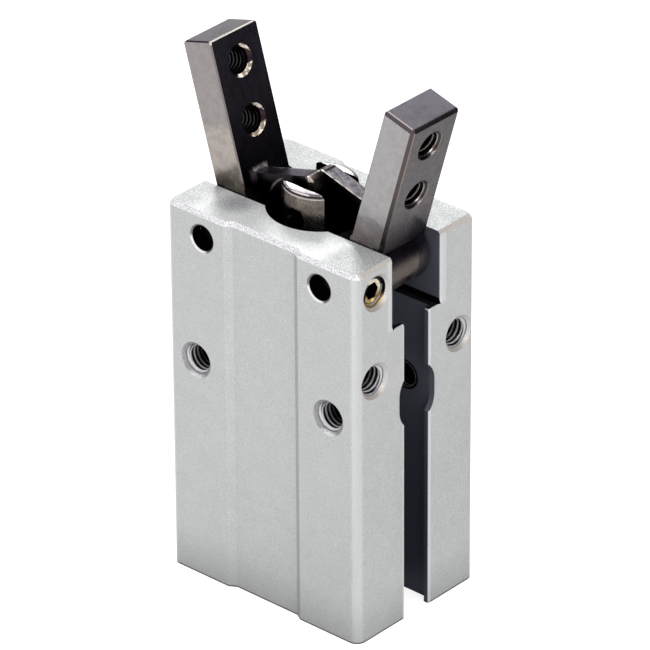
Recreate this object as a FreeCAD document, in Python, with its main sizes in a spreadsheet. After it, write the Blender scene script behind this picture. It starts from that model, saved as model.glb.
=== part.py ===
"""Angular gripper for compressed air: a 10 mm piston opens and closes two steel fingers.

Millimetres, +Z up. The origin is the centre of the flat bottom of the body, X runs along the
wide front and the front looks along -Y. The fingers stand open by the rest angle.
"""
import FreeCAD, Part
import math
import os
from types import SimpleNamespace

import Sketcher

# Sizes
SIZES = {
    "body_width": 23.0,
    "body_depth": 16.4,
    "body_height": 38.3,
    "corner_radius": 1.0,
    "top_chamfer": 0.4,
    "edge_break": 0.15,
    "rib_inner": 8.9,
    "recess_floor_width": 7.4,
    "recess_depth": 0.45,
    "finger_slot_width": 6.5,
    "finger_slot_depth": 7.3,
    "finger_slot_corner": 0.4,
    "slot_mouth_radius": 0.3,
    "side_slot_width": 3.3,
    "side_slot_lip": 0.55,
    "side_slot_inner_width": 4.8,
    "side_slot_depth": 4.9,
    "sensor_pocket_rise": 0.7,
    "sensor_pocket_height": 22.86,
    "sensor_pocket_depth": 1.1,
    "pivot_spread": 14.1,
    "pivot_drop": 2.55,
    "pivot_pin_diameter": 2.5,
    "pivot_hole_clearance": 0.01,
    "pivot_running_clearance": 0.03,
    "pivot_pin_recess": 1.1,
    "front_thread_spread": 16.06,
    "front_thread_height": 22.8,
    "side_thread_edge": 2.44,
    "side_thread_height": 26.84,
    "side_thread_depth": 6.0,
    "body_thread_diameter": 3.0,
    "thread_chamfer": 0.3,
    "bottom_thread_edge_x": 2.5,
    "bottom_thread_edge_y": 2.2,
    "bottom_thread_depth": 6.0,
    "lower_port_height": 7.4,
    "upper_port_height": 21.3,
    "set_screw_offset": 0.225,
    "set_screw_recess": 0.6,
    "set_screw_socket": 1.5,
    "set_screw_socket_depth": 1.2,
    "screw_clearance": 0.01,
    "open_angle": 16.0,
    "bar_inner": 1.46,
    "bar_outer": 2.06,
    "bar_length": 17.06,
    "bar_width": 6.2,
    "bar_chamfer": 0.35,
    "bar_edge_break": 0.12,
    "hub_diameter": 6.7,
    "hub_width": 6.3,
    "hub_chamfer": 0.25,
    "finger_thread_diameter": 2.5,
    "finger_thread_chamfer": 0.3,
    "finger_thread_upper": 14.17,
    "finger_thread_pitch": 5.67,
    "arm_thickness": 1.6,
    "arm_gap": 0.1,
    "arm_reach": 8.95,
    "arm_top": 4.0,
    "arm_bottom": 2.2,
    "arm_nose_radius": 0.8,
    "arm_root_fillet": 0.65,
    "fork_rise": 0.46,
    "fork_play": 0.14,
    "fork_end": 7.0,
    "fork_lift_at_rest": 0.1,
    "drive_pin_diameter": 2.0,
    "drive_pin_recess": 0.55,
    "rod_diameter": 7.0,
    "clevis_slot_width": 4.7,
    "clevis_top": 2.7,
    "clevis_floor": 5.2,
    "clevis_rounding": 0.45,
    "shoulder_height": 20.2,
    "spigot_diameter": 3.5,
    "spigot_thread_diameter": 3.0,
    "spigot_end_length": 2.2,
    "recess_diameter": 10.0,
    "bush_top": 29.0,
    "bush_length": 3.0,
    "bush_diameter": 9.2,
    "rod_seal_height": 2.0,
    "rod_clearance": 0.02,
    "rod_hole_clearance": 0.15,
    "chamber_top": 23.0,
    "bore_diameter": 10.0,
    "piston_clearance": 0.03,
    "upper_disc_height": 3.2,
    "upper_disc_step": 0.8,
    "magnet_height": 2.2,
    "magnet_diameter": 9.2,
    "lower_disc_height": 3.0,
    "seal_groove_depth": 1.0,
    "seal_groove_width": 1.2,
    "wear_groove_depth": 0.6,
    "wear_groove_width": 1.6,
    "ring_side_gap": 0.03,
    "nut_flats": 5.5,
    "nut_height": 1.8,
    "upper_bumper_height": 0.8,
    "bumper_gap": 0.1,
    "cap_bottom": 1.7,
    "cap_top": 7.0,
    "cap_shoulder": 4.9,
    "cap_bore_diameter": 10.6,
    "cap_spigot_diameter": 9.0,
    "cap_pocket_diameter": 7.2,
    "cap_pocket_floor": 5.2,
    "cap_groove_depth": 0.8,
    "cap_groove_width": 1.3,
    "cap_groove_height": 2.6,
    "cap_clearance": 0.02,
    "lower_bumper_height": 1.2,
    "ring_groove_depth": 0.45,
    "ring_thickness": 0.8,
    "ring_band": 1.1,
    "ring_opening": 3.4,
    "mouth_chamfer": 0.25,
}


class Length:
    """A number together with the sheet formula that it comes from."""

    def __init__(self, formula, number):
        self.formula = formula
        self.number = number

    @staticmethod
    def of(value):
        if isinstance(value, Length):
            return value
        return Length(repr(float(value)), float(value))

    def __add__(self, other):
        other = Length.of(other)
        return Length(f"({self.formula} + {other.formula})", self.number + other.number)

    def __sub__(self, other):
        other = Length.of(other)
        return Length(f"({self.formula} - {other.formula})", self.number - other.number)

    def __mul__(self, factor):
        return Length(f"({self.formula} * {factor})", self.number * factor)

    def __truediv__(self, factor):
        return Length(f"({self.formula} / {factor})", self.number / factor)

    def __neg__(self):
        return Length(f"(0 - {self.formula})", -self.number)

    __radd__ = __add__
    __rmul__ = __mul__


# Document and sheet
doc = FreeCAD.newDocument("AngularGripper")
sheet = doc.addObject("Spreadsheet::Sheet", "dims")
for row, (name, number) in enumerate(SIZES.items(), start=1):
    sheet.set(f"A{row}", name)
    sheet.set(f"B{row}", str(number))
    sheet.setAlias(f"B{row}", name)
doc.recompute()
size = SimpleNamespace(**{name: Length("dims." + name, number) for name, number in SIZES.items()})


# Helpers for sketches
def new_body(label):
    body = doc.addObject("PartDesign::Body", label)
    body.Label = label
    return body


def new_sketch(body, name, role, offset=None):
    """A sketch on one of the body's own origin planes, moved along the plane's normal."""
    sketch = body.newObject("Sketcher::SketchObject", name)
    plane = [item for item in body.Origin.OriginFeatures if item.Role == role][0]
    sketch.AttachmentSupport = [(plane, "")]
    sketch.MapMode = "FlatFace"
    if offset is not None:
        sketch.setExpression("AttachmentOffset.Base.z", offset.formula)
    return sketch


def bind(sketch, index, length):
    sketch.setExpression(f"Constraints[{index}]", length.formula)


def pin_point(sketch, geometry, position, x, y):
    """Hold one sketch point at x, y from the sketch origin."""
    for kind, axis, length in (("DistanceX", -2, Length.of(x)), ("DistanceY", -1, Length.of(y))):
        if abs(length.number) < 1e-9:
            sketch.addConstraint(Sketcher.Constraint("PointOnObject", geometry, position, axis))
        elif length.number > 0:
            rule = Sketcher.Constraint(kind, -1, 1, geometry, position, length.number)
            bind(sketch, sketch.addConstraint(rule), length)
        else:
            rule = Sketcher.Constraint(kind, geometry, position, -1, 1, -length.number)
            bind(sketch, sketch.addConstraint(rule), -length)


def vector(x, y):
    return FreeCAD.Vector(Length.of(x).number, Length.of(y).number, 0)


def polygon(sketch, points):
    """A closed outline of straight lines through the points."""
    count = len(points)
    first = sketch.GeometryCount
    for index, point in enumerate(points):
        after = points[(index + 1) % count]
        sketch.addGeometry(Part.LineSegment(vector(*point), vector(*after)), False)
    for index in range(count):
        after = first + (index + 1) % count
        sketch.addConstraint(Sketcher.Constraint("Coincident", first + index, 2, after, 1))
    for index, point in enumerate(points):
        pin_point(sketch, first + index, 1, *point)


def rectangle(sketch, x_low, x_high, y_low, y_high):
    polygon(sketch, [(x_low, y_low), (x_high, y_low), (x_high, y_high), (x_low, y_high)])


def circle(sketch, x, y, radius):
    shape = Part.Circle(vector(x, y), FreeCAD.Vector(0, 0, 1), radius.number)
    index = sketch.addGeometry(shape, False)
    pin_point(sketch, index, 3, x, y)
    bind(sketch, sketch.addConstraint(Sketcher.Constraint("Radius", index, radius.number)), radius)


def hexagon(sketch, flats):
    """A hexagon about the sketch origin with two flats square to the sketch's vertical axis."""
    corner = flats * 0.5773502692
    polygon(sketch, [
        (corner, 0), (corner / 2, flats / 2), (-corner / 2, flats / 2),
        (-corner, 0), (-corner / 2, -flats / 2), (corner / 2, -flats / 2),
    ])


def obround(sketch, start, end, radius):
    """A slot with round ends between two centres on one horizontal or vertical line."""
    a, b = vector(*start), vector(*end)
    along = (b - a).normalize()
    side = FreeCAD.Vector(-along.y, along.x, 0) * radius.number
    turn = FreeCAD.Vector(0, 0, 1)
    first = sketch.GeometryCount
    sketch.addGeometry(Part.LineSegment(a - side, b - side), False)
    far = Part.Arc(b - side, b + along * radius.number, b + side)
    sketch.addGeometry(Part.ArcOfCircle(Part.Circle(b, turn, radius.number), *far_angles(far, b)), False)
    sketch.addGeometry(Part.LineSegment(b + side, a + side), False)
    near = Part.Arc(a + side, a - along * radius.number, a - side)
    sketch.addGeometry(Part.ArcOfCircle(Part.Circle(a, turn, radius.number), *far_angles(near, a)), False)
    for index in range(4):
        rule = Sketcher.Constraint("Tangent", first + index, 2, first + (index + 1) % 4, 1)
        sketch.addConstraint(rule)
    for index, point in ((1, end), (3, start)):
        pin_point(sketch, first + index, 3, *point)
        rule = Sketcher.Constraint("Radius", first + index, radius.number)
        bind(sketch, sketch.addConstraint(rule), radius)


def far_angles(arc, centre):
    """Start and end angle of an arc that turns counter-clockwise about its centre."""
    reference = FreeCAD.Vector(1, 0, 0)
    angles = []
    for point in (arc.StartPoint, arc.EndPoint):
        ray = point - centre
        angle = reference.getAngle(ray)
        angles.append(angle if ray.y >= 0 else -angle)
    if angles[1] < angles[0]:
        angles[1] += 6.283185307179586
    return angles


# Helpers for features
def pad(body, sketch, name, length, midplane=True, reverse=False):
    feature = body.newObject("PartDesign::Pad", name)
    feature.Profile = sketch
    feature.Midplane = midplane
    feature.Reversed = reverse
    feature.setExpression("Length", length.formula)
    doc.recompute()
    return feature


def pocket(body, sketch, name, length=None, reverse=False):
    """A cut of a given depth, or right through both ways when no depth is given."""
    before = body.Shape.Volume
    feature = body.newObject("PartDesign::Pocket", name)
    feature.Profile = sketch
    if length is None:
        feature.Type = 1
        feature.Midplane = True
    else:
        feature.Reversed = reverse
        feature.setExpression("Length", length.formula)
    doc.recompute()
    if not body.Shape.Volume < before - 1e-6:
        raise RuntimeError(f"{name} removes nothing")
    return feature


def revolve(body, sketch, name, kind="Revolution", axis="V_Axis"):
    feature = body.newObject("PartDesign::" + kind, name)
    feature.Profile = sketch
    feature.ReferenceAxis = (sketch, [axis])
    feature.Angle = 360.0
    doc.recompute()
    return feature


def edge_names(body, wanted):
    """Names of the edges of the present shape for which wanted(edge) holds."""
    return [f"Edge{i}" for i, edge in enumerate(body.Shape.Edges, start=1) if wanted(edge)]


def dress(body, kind, name, amount, wanted):
    """A chamfer or fillet on the edges that wanted() picks."""
    names = edge_names(body, wanted)
    if not names:
        raise RuntimeError(f"{name} finds no edge")
    base = body.Tip
    feature = body.newObject("PartDesign::" + kind, name)
    feature.Base = (base, names)
    feature.setExpression("Radius" if kind == "Fillet" else "Size", amount.formula)
    doc.recompute()
    if "Invalid" in feature.State:
        raise RuntimeError(f"{name} cannot be made on {names}")
    return feature


def near(value, target, slack=1e-4):
    return abs(value - target) < slack


def is_line(edge):
    return edge.Curve.TypeId == "Part::GeomLine"


def is_circle(edge, radius):
    return edge.Curve.TypeId == "Part::GeomCircle" and near(edge.Curve.Radius, radius)


def middle(edge):
    return edge.BoundBox.Center


def place(item, x=None, y=None, z=None):
    for axis, length in (("x", x), ("y", y), ("z", z)):
        if length is not None:
            item.setExpression(f"Placement.Base.{axis}", length.formula)
    doc.recompute()


def turned(label, outlines, plane="XZ_Plane", x=None, z=None):
    """A piece turned about the sketch's vertical axis from outlines of (radius, height) points."""
    body = new_body(label)
    sketch = new_sketch(body, label + "_profile", plane)
    for points in outlines:
        polygon(sketch, points)
    revolve(body, sketch, label + "_turn")
    place(body, x=x, z=z)
    return body


# Heights that several pieces share
half_width = size.body_width / 2
half_depth = size.body_depth / 2
pivot_x = size.pivot_spread / 2
pivot_z = size.body_height - size.pivot_drop
slot_floor = size.body_height - size.finger_slot_depth
thread_radius = size.body_thread_diameter / 2
tangent = Length("tan(dims.open_angle)", math.tan(math.radians(SIZES["open_angle"])))
cosine = Length("cos(dims.open_angle)", math.cos(math.radians(SIZES["open_angle"])))
fork_height = Length(
    f"(({size.fork_rise.formula} + {size.fork_lift_at_rest.formula}) / {cosine.formula})",
    (size.fork_rise.number + size.fork_lift_at_rest.number) / cosine.number,
)
fork_offset = Length(f"({pivot_x.formula} * {tangent.formula})", pivot_x.number * tangent.number)
drive_z = pivot_z + fork_offset + fork_height
rod_shoulder = drive_z - size.shoulder_height
set_screw_y = size.set_screw_offset - (half_depth + size.finger_slot_width / 2) / 2
side_thread_y = half_depth - size.side_thread_edge
bottom_thread_x = half_width - size.bottom_thread_edge_x
bottom_thread_y = half_depth - size.bottom_thread_edge_y
rod_radius = size.rod_diameter / 2
bore_radius = size.bore_diameter / 2
cap_bore_radius = size.cap_bore_diameter / 2
bush_radius = size.bush_diameter / 2
seal_floor = size.bush_top - size.bush_length - size.rod_seal_height
ring_bottom = size.cap_bottom - size.ring_thickness - size.ring_side_gap


# Body
def make_body():
    body = new_body("body")
    sketch = new_sketch(body, "block_outline", "XY_Plane")
    rectangle(sketch, -half_width, half_width, -half_depth, half_depth)
    pad(body, sketch, "block", size.body_height, midplane=False)

    corner = half_width.number
    dress(body, "Fillet", "vertical_corners", size.corner_radius,
          lambda e: is_line(e) and near(abs(middle(e).x), corner) and near(abs(middle(e).y), half_depth.number))

    # Shallow panel that runs the full height in the middle of the front and of the rear
    sketch = new_sketch(body, "panel_outline", "XY_Plane")
    for side in (-1, 1):
        mouth = half_depth * side
        floor = (half_depth - size.recess_depth) * side
        outside = (half_depth + 1) * side
        polygon(sketch, [
            (-size.rib_inner / 2, outside), (-size.rib_inner / 2, mouth),
            (-size.recess_floor_width / 2, floor), (size.recess_floor_width / 2, floor),
            (size.rib_inner / 2, mouth), (size.rib_inner / 2, outside),
        ])
    pocket(body, sketch, "panels")

    top = size.body_height.number
    dress(body, "Chamfer", "top_edges", size.top_chamfer,
          lambda e: near(e.BoundBox.ZMin, top) and near(e.BoundBox.ZMax, top))

    sketch = new_sketch(body, "finger_slot_outline", "YZ_Plane")
    rectangle(sketch, -size.finger_slot_width / 2, size.finger_slot_width / 2,
              slot_floor, size.body_height + 1)
    pocket(body, sketch, "finger_slot")
    slot_wall = size.finger_slot_width.number / 2
    ledge = slot_floor.number
    dress(body, "Fillet", "finger_slot_corners", size.finger_slot_corner,
          lambda e: is_line(e) and near(e.BoundBox.ZMax, ledge) and near(e.BoundBox.ZMin, ledge)
          and near(abs(middle(e).y), slot_wall))

    # Side slots for switches: a narrow mouth with lips and a wider room behind them
    sketch = new_sketch(body, "side_slot_outline", "XY_Plane")
    mouth_y, room_y = size.side_slot_width / 2, size.side_slot_inner_width / 2
    for side in (-1, 1):
        outside, behind_lip, floor = (
            (half_width + 1) * side, (half_width - size.side_slot_lip) * side,
            (half_width - size.side_slot_depth) * side)
        polygon(sketch, [
            (outside, -mouth_y), (outside, mouth_y), (behind_lip, mouth_y), (behind_lip, room_y),
            (floor, room_y), (floor, -room_y), (behind_lip, -room_y), (behind_lip, -mouth_y),
        ])
    pocket(body, sketch, "side_slots")

    dress(body, "Fillet", "slot_mouths", size.slot_mouth_radius,
          lambda e: is_line(e) and near(abs(middle(e).x), corner) and near(abs(middle(e).y), slot_wall))

    # Round bores from the recess at the top down to the mouth for the cap
    sketch = new_sketch(body, "bore_profile", "XZ_Plane")
    hole = rod_radius + size.rod_hole_clearance
    ring_radius = cap_bore_radius + size.ring_groove_depth
    polygon(sketch, [
        (0, size.body_height + 1),
        (0, -Length.of(1)),
        (cap_bore_radius + size.mouth_chamfer, -Length.of(1)),
        (cap_bore_radius + size.mouth_chamfer, 0),
        (cap_bore_radius, size.mouth_chamfer),
        (cap_bore_radius, ring_bottom - size.ring_side_gap),
        (ring_radius, ring_bottom - size.ring_side_gap),
        (ring_radius, size.cap_bottom),
        (cap_bore_radius, size.cap_bottom),
        (cap_bore_radius, size.cap_shoulder),
        (bore_radius, size.cap_shoulder),
        (bore_radius, size.chamber_top),
        (hole, size.chamber_top),
        (hole, seal_floor),
        (bush_radius, seal_floor),
        (bush_radius, size.bush_top),
        (size.recess_diameter / 2, size.bush_top),
        (size.recess_diameter / 2, size.body_height + 1),
    ])
    revolve(body, sketch, "bores", "Groove")

    # Sensor pocket: a place in each side slot without lips, where a switch drops in
    for side, word in ((1, "right"), (-1, "left")):
        sketch = new_sketch(body, word + "_pocket_outline", "YZ_Plane", half_width * side)
        centre = size.sensor_pocket_height
        obround(sketch, (0, centre - size.sensor_pocket_rise), (0, centre + size.sensor_pocket_rise),
                room_y)
        pocket(body, sketch, word + "_sensor_pocket", size.sensor_pocket_depth, reverse=side < 0)

    sketch = new_sketch(body, "pivot_hole_outline", "XZ_Plane")
    pin_hole = size.pivot_pin_diameter / 2 + size.pivot_hole_clearance
    for side in (-1, 1):
        circle(sketch, pivot_x * side, pivot_z, pin_hole)
    pocket(body, sketch, "pivot_holes")

    sketch = new_sketch(body, "front_thread_outline", "XZ_Plane")
    for side in (-1, 1):
        circle(sketch, size.front_thread_spread / 2 * side, size.front_thread_height, thread_radius)
    pocket(body, sketch, "front_threads")

    for side, word in ((1, "right"), (-1, "left")):
        sketch = new_sketch(body, word + "_thread_outline", "YZ_Plane", half_width * side)
        for end in (-1, 1):
            circle(sketch, side_thread_y * end, size.side_thread_height, thread_radius)
        pocket(body, sketch, word + "_side_threads", size.side_thread_depth, reverse=side < 0)
        sketch = new_sketch(body, word + "_screw_hole_outline", "YZ_Plane", half_width * side)
        circle(sketch, set_screw_y, pivot_z, thread_radius)
        pocket(body, sketch, word + "_screw_hole", half_width - pivot_x, reverse=side < 0)

    sketch = new_sketch(body, "bottom_thread_outline", "XY_Plane")
    for side in (-1, 1):
        for end in (-1, 1):
            circle(sketch, bottom_thread_x * side, bottom_thread_y * end, thread_radius)
    pocket(body, sketch, "bottom_threads", size.bottom_thread_depth, reverse=True)

    sketch = new_sketch(body, "port_outline", "XZ_Plane", -half_depth)
    for height in (size.lower_port_height, size.upper_port_height):
        circle(sketch, 0, height, thread_radius)
    pocket(body, sketch, "ports", half_depth - bore_radius + 0.5, reverse=True)

    # Countersinks and edge breaks
    def mouth(edge):
        spot = middle(edge)
        if is_circle(edge, thread_radius.number):
            return (near(abs(spot.y), half_depth.number) or near(abs(spot.x), half_width.number)
                    or near(spot.z, 0) or near(spot.y, half_depth.number - size.recess_depth.number))
        return False

    dress(body, "Chamfer", "thread_countersinks", size.thread_chamfer, mouth)
    dress(body, "Chamfer", "pivot_hole_breaks", size.edge_break,
          lambda e: is_circle(e, pin_hole.number) and near(abs(middle(e).y), half_depth.number))
    slot_y = size.side_slot_width.number / 2
    dress(body, "Chamfer", "side_slot_breaks", size.edge_break,
          lambda e: is_line(e) and near(abs(middle(e).x), corner) and near(abs(middle(e).y), slot_y))
    return body


# Fingers: bar, hub round the pivot and an inward arm with an open fork
def make_finger(label, side):
    """A finger on the right (side 1) or left (side -1); the left one is the right one turned about Z."""
    body = new_body(label)
    sketch = new_sketch(body, label + "_bar_outline", "XZ_Plane")
    rectangle(sketch, -size.bar_inner * side, size.bar_outer * side, 0, size.bar_length)
    pad(body, sketch, label + "_bar", size.bar_width)
    edge_y = size.bar_width.number / 2
    tip = size.bar_length.number
    outer_x = size.bar_outer.number * side
    inner_x = -size.bar_inner.number * side

    def broad(edge):
        spot = middle(edge)
        on_face = near(spot.y * side, -edge_y)
        on_outside = near(spot.x, outer_x)
        return (on_face or on_outside) if near(spot.z, tip) else (on_face and on_outside)

    def narrow(edge):
        spot = middle(edge)
        far_face = near(spot.y * side, edge_y)
        if near(edge.BoundBox.ZMin, tip):
            return far_face or near(spot.x, inner_x)
        return (far_face and (near(spot.x, outer_x) or near(spot.x, inner_x))) or (
            near(spot.y * side, -edge_y) and near(spot.x, inner_x))

    dress(body, "Chamfer", label + "_broad_edges", size.bar_chamfer, broad)
    dress(body, "Chamfer", label + "_narrow_edges", size.bar_edge_break, narrow)

    # Hub: a disc turned about the pivot axis, a little wider than the bar
    sketch = new_sketch(body, label + "_hub_profile", "XY_Plane")
    radius, face = size.hub_diameter / 2, size.hub_width / 2
    polygon(sketch, [
        (0, -face), (radius - size.hub_chamfer, -face), (radius, size.hub_chamfer - face),
        (radius, face - size.hub_chamfer), (radius - size.hub_chamfer, face), (0, face),
    ])
    revolve(body, sketch, label + "_hub")

    # Arm: a plate beside the middle plane, with a rounded nose and filleted root
    sketch = new_sketch(body, label + "_arm_outline", "XZ_Plane", -size.arm_gap / 2 * side)
    polygon(sketch, [
        (0, -size.arm_bottom), (0, size.arm_top),
        (-size.arm_reach * side, size.arm_top), (-size.arm_reach * side, -size.arm_bottom),
    ])
    pad(body, sketch, label + "_arm", size.arm_thickness, midplane=False, reverse=side > 0)
    nose_x = -size.arm_reach.number * side
    dress(body, "Fillet", label + "_arm_nose", size.arm_nose_radius,
          lambda e: near(e.BoundBox.XMin, nose_x) and near(e.BoundBox.XMax, nose_x)
          and e.BoundBox.YLength > 0.5 and e.BoundBox.ZLength < 0.01)
    root_x = -size.bar_inner.number * side
    plate_low = size.arm_gap.number / 2
    plate_high = plate_low + size.arm_thickness.number
    dress(body, "Fillet", label + "_arm_root", size.arm_root_fillet,
          lambda e: near(e.BoundBox.XMin, root_x) and near(e.BoundBox.XMax, root_x)
          and near(e.BoundBox.ZMax, size.arm_top.number)
          and plate_low - 0.01 < middle(e).y * side < plate_high + 0.01)

    sketch = new_sketch(body, label + "_fork_outline", "XZ_Plane")
    obround(sketch, (-(size.arm_reach + 3) * side, size.fork_rise), (-size.fork_end * side, size.fork_rise),
            size.drive_pin_diameter / 2 + size.fork_play)
    pocket(body, sketch, label + "_fork")

    sketch = new_sketch(body, label + "_pivot_outline", "XZ_Plane")
    circle(sketch, 0, 0, size.pivot_pin_diameter / 2 + size.pivot_running_clearance)
    pocket(body, sketch, label + "_pivot_bore")

    sketch = new_sketch(body, label + "_thread_outline", "YZ_Plane")
    radius = size.finger_thread_diameter / 2
    for height in (size.finger_thread_upper, size.finger_thread_upper - size.finger_thread_pitch):
        circle(sketch, 0, height, radius)
    pocket(body, sketch, label + "_threads")
    dress(body, "Chamfer", label + "_thread_countersinks", size.finger_thread_chamfer,
          lambda e: is_circle(e, radius.number))

    body.Placement = FreeCAD.Placement(
        FreeCAD.Vector(0, 0, 0), FreeCAD.Rotation(FreeCAD.Vector(0, side, 0), size.open_angle.number))
    body.setExpression("Placement.Rotation.Angle", size.open_angle.formula)
    place(body, x=pivot_x * side, z=pivot_z)
    return body


def make_pivot_pin(label, side):
    radius = size.pivot_pin_diameter / 2
    face = half_depth - size.pivot_pin_recess
    return turned(label, [[
        (0, -face), (radius - size.edge_break, -face), (radius, size.edge_break - face),
        (radius, face - size.edge_break), (radius - size.edge_break, face), (0, face),
    ]], plane="XY_Plane", x=pivot_x * side, z=pivot_z)


def make_set_screw(label, side):
    """A headless screw whose flat tip meets the pivot pin and whose socket looks outwards."""
    body = new_body(label)
    radius = thread_radius - size.screw_clearance
    tip = pivot_x + size.pivot_pin_diameter / 2 + size.screw_clearance
    end = half_width - size.set_screw_recess
    taper = size.set_screw_socket / 5
    sketch = new_sketch(body, label + "_profile", "XY_Plane")
    polygon(sketch, [
        (tip * side, 0), (tip * side, radius - taper), ((tip + taper) * side, radius),
        ((end - taper) * side, radius), (end * side, radius - taper), (end * side, 0),
    ])
    revolve(body, sketch, label + "_turn", axis="H_Axis")
    sketch = new_sketch(body, label + "_socket_outline", "YZ_Plane", end * side)
    hexagon(sketch, size.set_screw_socket)
    pocket(body, sketch, label + "_socket", size.set_screw_socket_depth, reverse=side < 0)
    place(body, y=set_screw_y, z=pivot_z)
    return body


# Rod and piston: the local origin is the centre of the drive pin
def make_rod():
    label = "piston_rod"
    spigot_end = rod_shoulder + stack
    thread_end = spigot_end + size.spigot_end_length
    spigot = size.spigot_diameter / 2
    thread = size.spigot_thread_diameter / 2
    body = turned(label, [[
        (0, size.clevis_top), (rod_radius, size.clevis_top), (rod_radius, -rod_shoulder),
        (spigot, -rod_shoulder), (spigot, size.edge_break - spigot_end),
        (thread, size.edge_break - spigot_end), (thread, size.edge_break - thread_end),
        (thread - size.edge_break, -thread_end), (0, -thread_end),
    ]])
    top = size.clevis_top.number
    dress(body, "Fillet", "clevis_rounding", size.clevis_rounding,
          lambda e: is_circle(e, rod_radius.number) and near(middle(e).z, top))
    sketch = new_sketch(body, "clevis_slot_outline", "YZ_Plane")
    rectangle(sketch, -size.clevis_slot_width / 2, size.clevis_slot_width / 2,
              -size.clevis_floor, size.clevis_top + 1)
    pocket(body, sketch, "clevis_slot")
    sketch = new_sketch(body, "drive_hole_outline", "XZ_Plane")
    circle(sketch, 0, 0, size.drive_pin_diameter / 2)
    pocket(body, sketch, "drive_hole")
    place(body, z=drive_z)
    return body


def make_drive_pin():
    radius = size.drive_pin_diameter / 2
    face = rod_radius - size.drive_pin_recess
    return turned("drive_pin", [[
        (0, -face), (radius - size.edge_break, -face), (radius, size.edge_break - face),
        (radius, face - size.edge_break), (radius - size.edge_break, face), (0, face),
    ]], plane="XY_Plane", z=drive_z)


def grooved_disc(label, high, low, step, groove_depth, groove_width):
    """A piston disc from high down to low, with a stepped top and one groove in its rim."""
    rim = bore_radius - size.piston_clearance
    neck = rim - step
    centre = (high - step + low) / 2
    upper, lower = centre + groove_width / 2, centre - groove_width / 2
    bore = size.spigot_diameter / 2 + size.screw_clearance
    return turned(label, [[
        (bore, high), (neck, high), (neck, high - step), (rim, high - step), (rim, upper),
        (rim - groove_depth, upper), (rim - groove_depth, lower), (rim, lower),
        (rim, low + size.edge_break), (rim - size.edge_break, low), (bore, low),
    ]], z=drive_z), centre


def ring(label, inner, outer, low, high, z=None, bevel=None):
    """A plain ring, its outer corners bevelled when asked."""
    if bevel is None:
        points = [(inner, low), (outer, low), (outer, high), (inner, high)]
    else:
        points = [(inner, low), (outer - bevel, low), (outer, low + bevel),
                  (outer, high - bevel), (outer - bevel, high), (inner, high)]
    return turned(label, [points], z=z)


def make_piston():
    upper_low = -rod_shoulder - size.upper_disc_height
    magnet_low = upper_low - size.magnet_height
    lower_low = magnet_low - size.lower_disc_height
    rim = bore_radius - size.piston_clearance
    gap = size.ring_side_gap
    upper, seal_at = grooved_disc("piston_upper_disc", -rod_shoulder, upper_low, size.upper_disc_step,
                                  size.seal_groove_depth, size.seal_groove_width)
    lower, wear_at = grooved_disc("piston_lower_disc", magnet_low, lower_low, size.edge_break,
                                  size.wear_groove_depth, size.wear_groove_width)
    ring("piston_magnet", size.spigot_diameter / 2 + gap, size.magnet_diameter / 2, magnet_low, upper_low,
         z=drive_z, bevel=size.edge_break)
    half = size.seal_groove_width / 2 - gap
    seal_inner = rim - size.seal_groove_depth + gap
    seal_outer = bore_radius - size.cap_clearance
    turned("piston_seal", [[
        (seal_inner, seal_at - half), (seal_outer, seal_at - half), (seal_outer, seal_at - half / 2),
        (seal_outer - gap * 5, seal_at), (seal_outer, seal_at + half / 2), (seal_outer, seal_at + half),
        (seal_inner, seal_at + half),
    ]], z=drive_z)
    half = size.wear_groove_width / 2 - gap
    ring("piston_wear_ring", rim - size.wear_groove_depth + gap, bore_radius - size.cap_clearance,
         wear_at - half, wear_at + half, z=drive_z)

    body = new_body("piston_nut")
    sketch = new_sketch(body, "nut_outline", "XY_Plane", lower_low - size.nut_height)
    hexagon(sketch, size.nut_flats)
    circle(sketch, 0, 0, size.spigot_thread_diameter / 2 + size.screw_clearance)
    pad(body, sketch, "nut_block", size.nut_height, midplane=False)
    place(body, z=drive_z)


# Pieces that stay in the body: bush, seals, bumpers, cap and its ring
def make_guides():
    ring("rod_bush", rod_radius + size.rod_clearance, bush_radius,
         size.bush_top - size.bush_length, size.bush_top)
    gap = size.ring_side_gap
    inner = rod_radius + size.rod_clearance
    outer = bush_radius - size.cap_clearance
    high = size.bush_top - size.bush_length - gap
    turned("rod_seal", [[
        (inner, seal_floor + gap), (outer, seal_floor + gap), (outer, high), (inner + gap * 5, high),
        (inner + gap * 10, high - size.rod_seal_height / 3), (inner, high - size.rod_seal_height / 3),
    ]])
    bumper_inner = rod_radius + size.rod_hole_clearance + size.bumper_gap
    ring("upper_bumper", bumper_inner, bore_radius - size.bumper_gap * 4,
         size.chamber_top - size.upper_bumper_height, size.chamber_top, bevel=size.edge_break)


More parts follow.
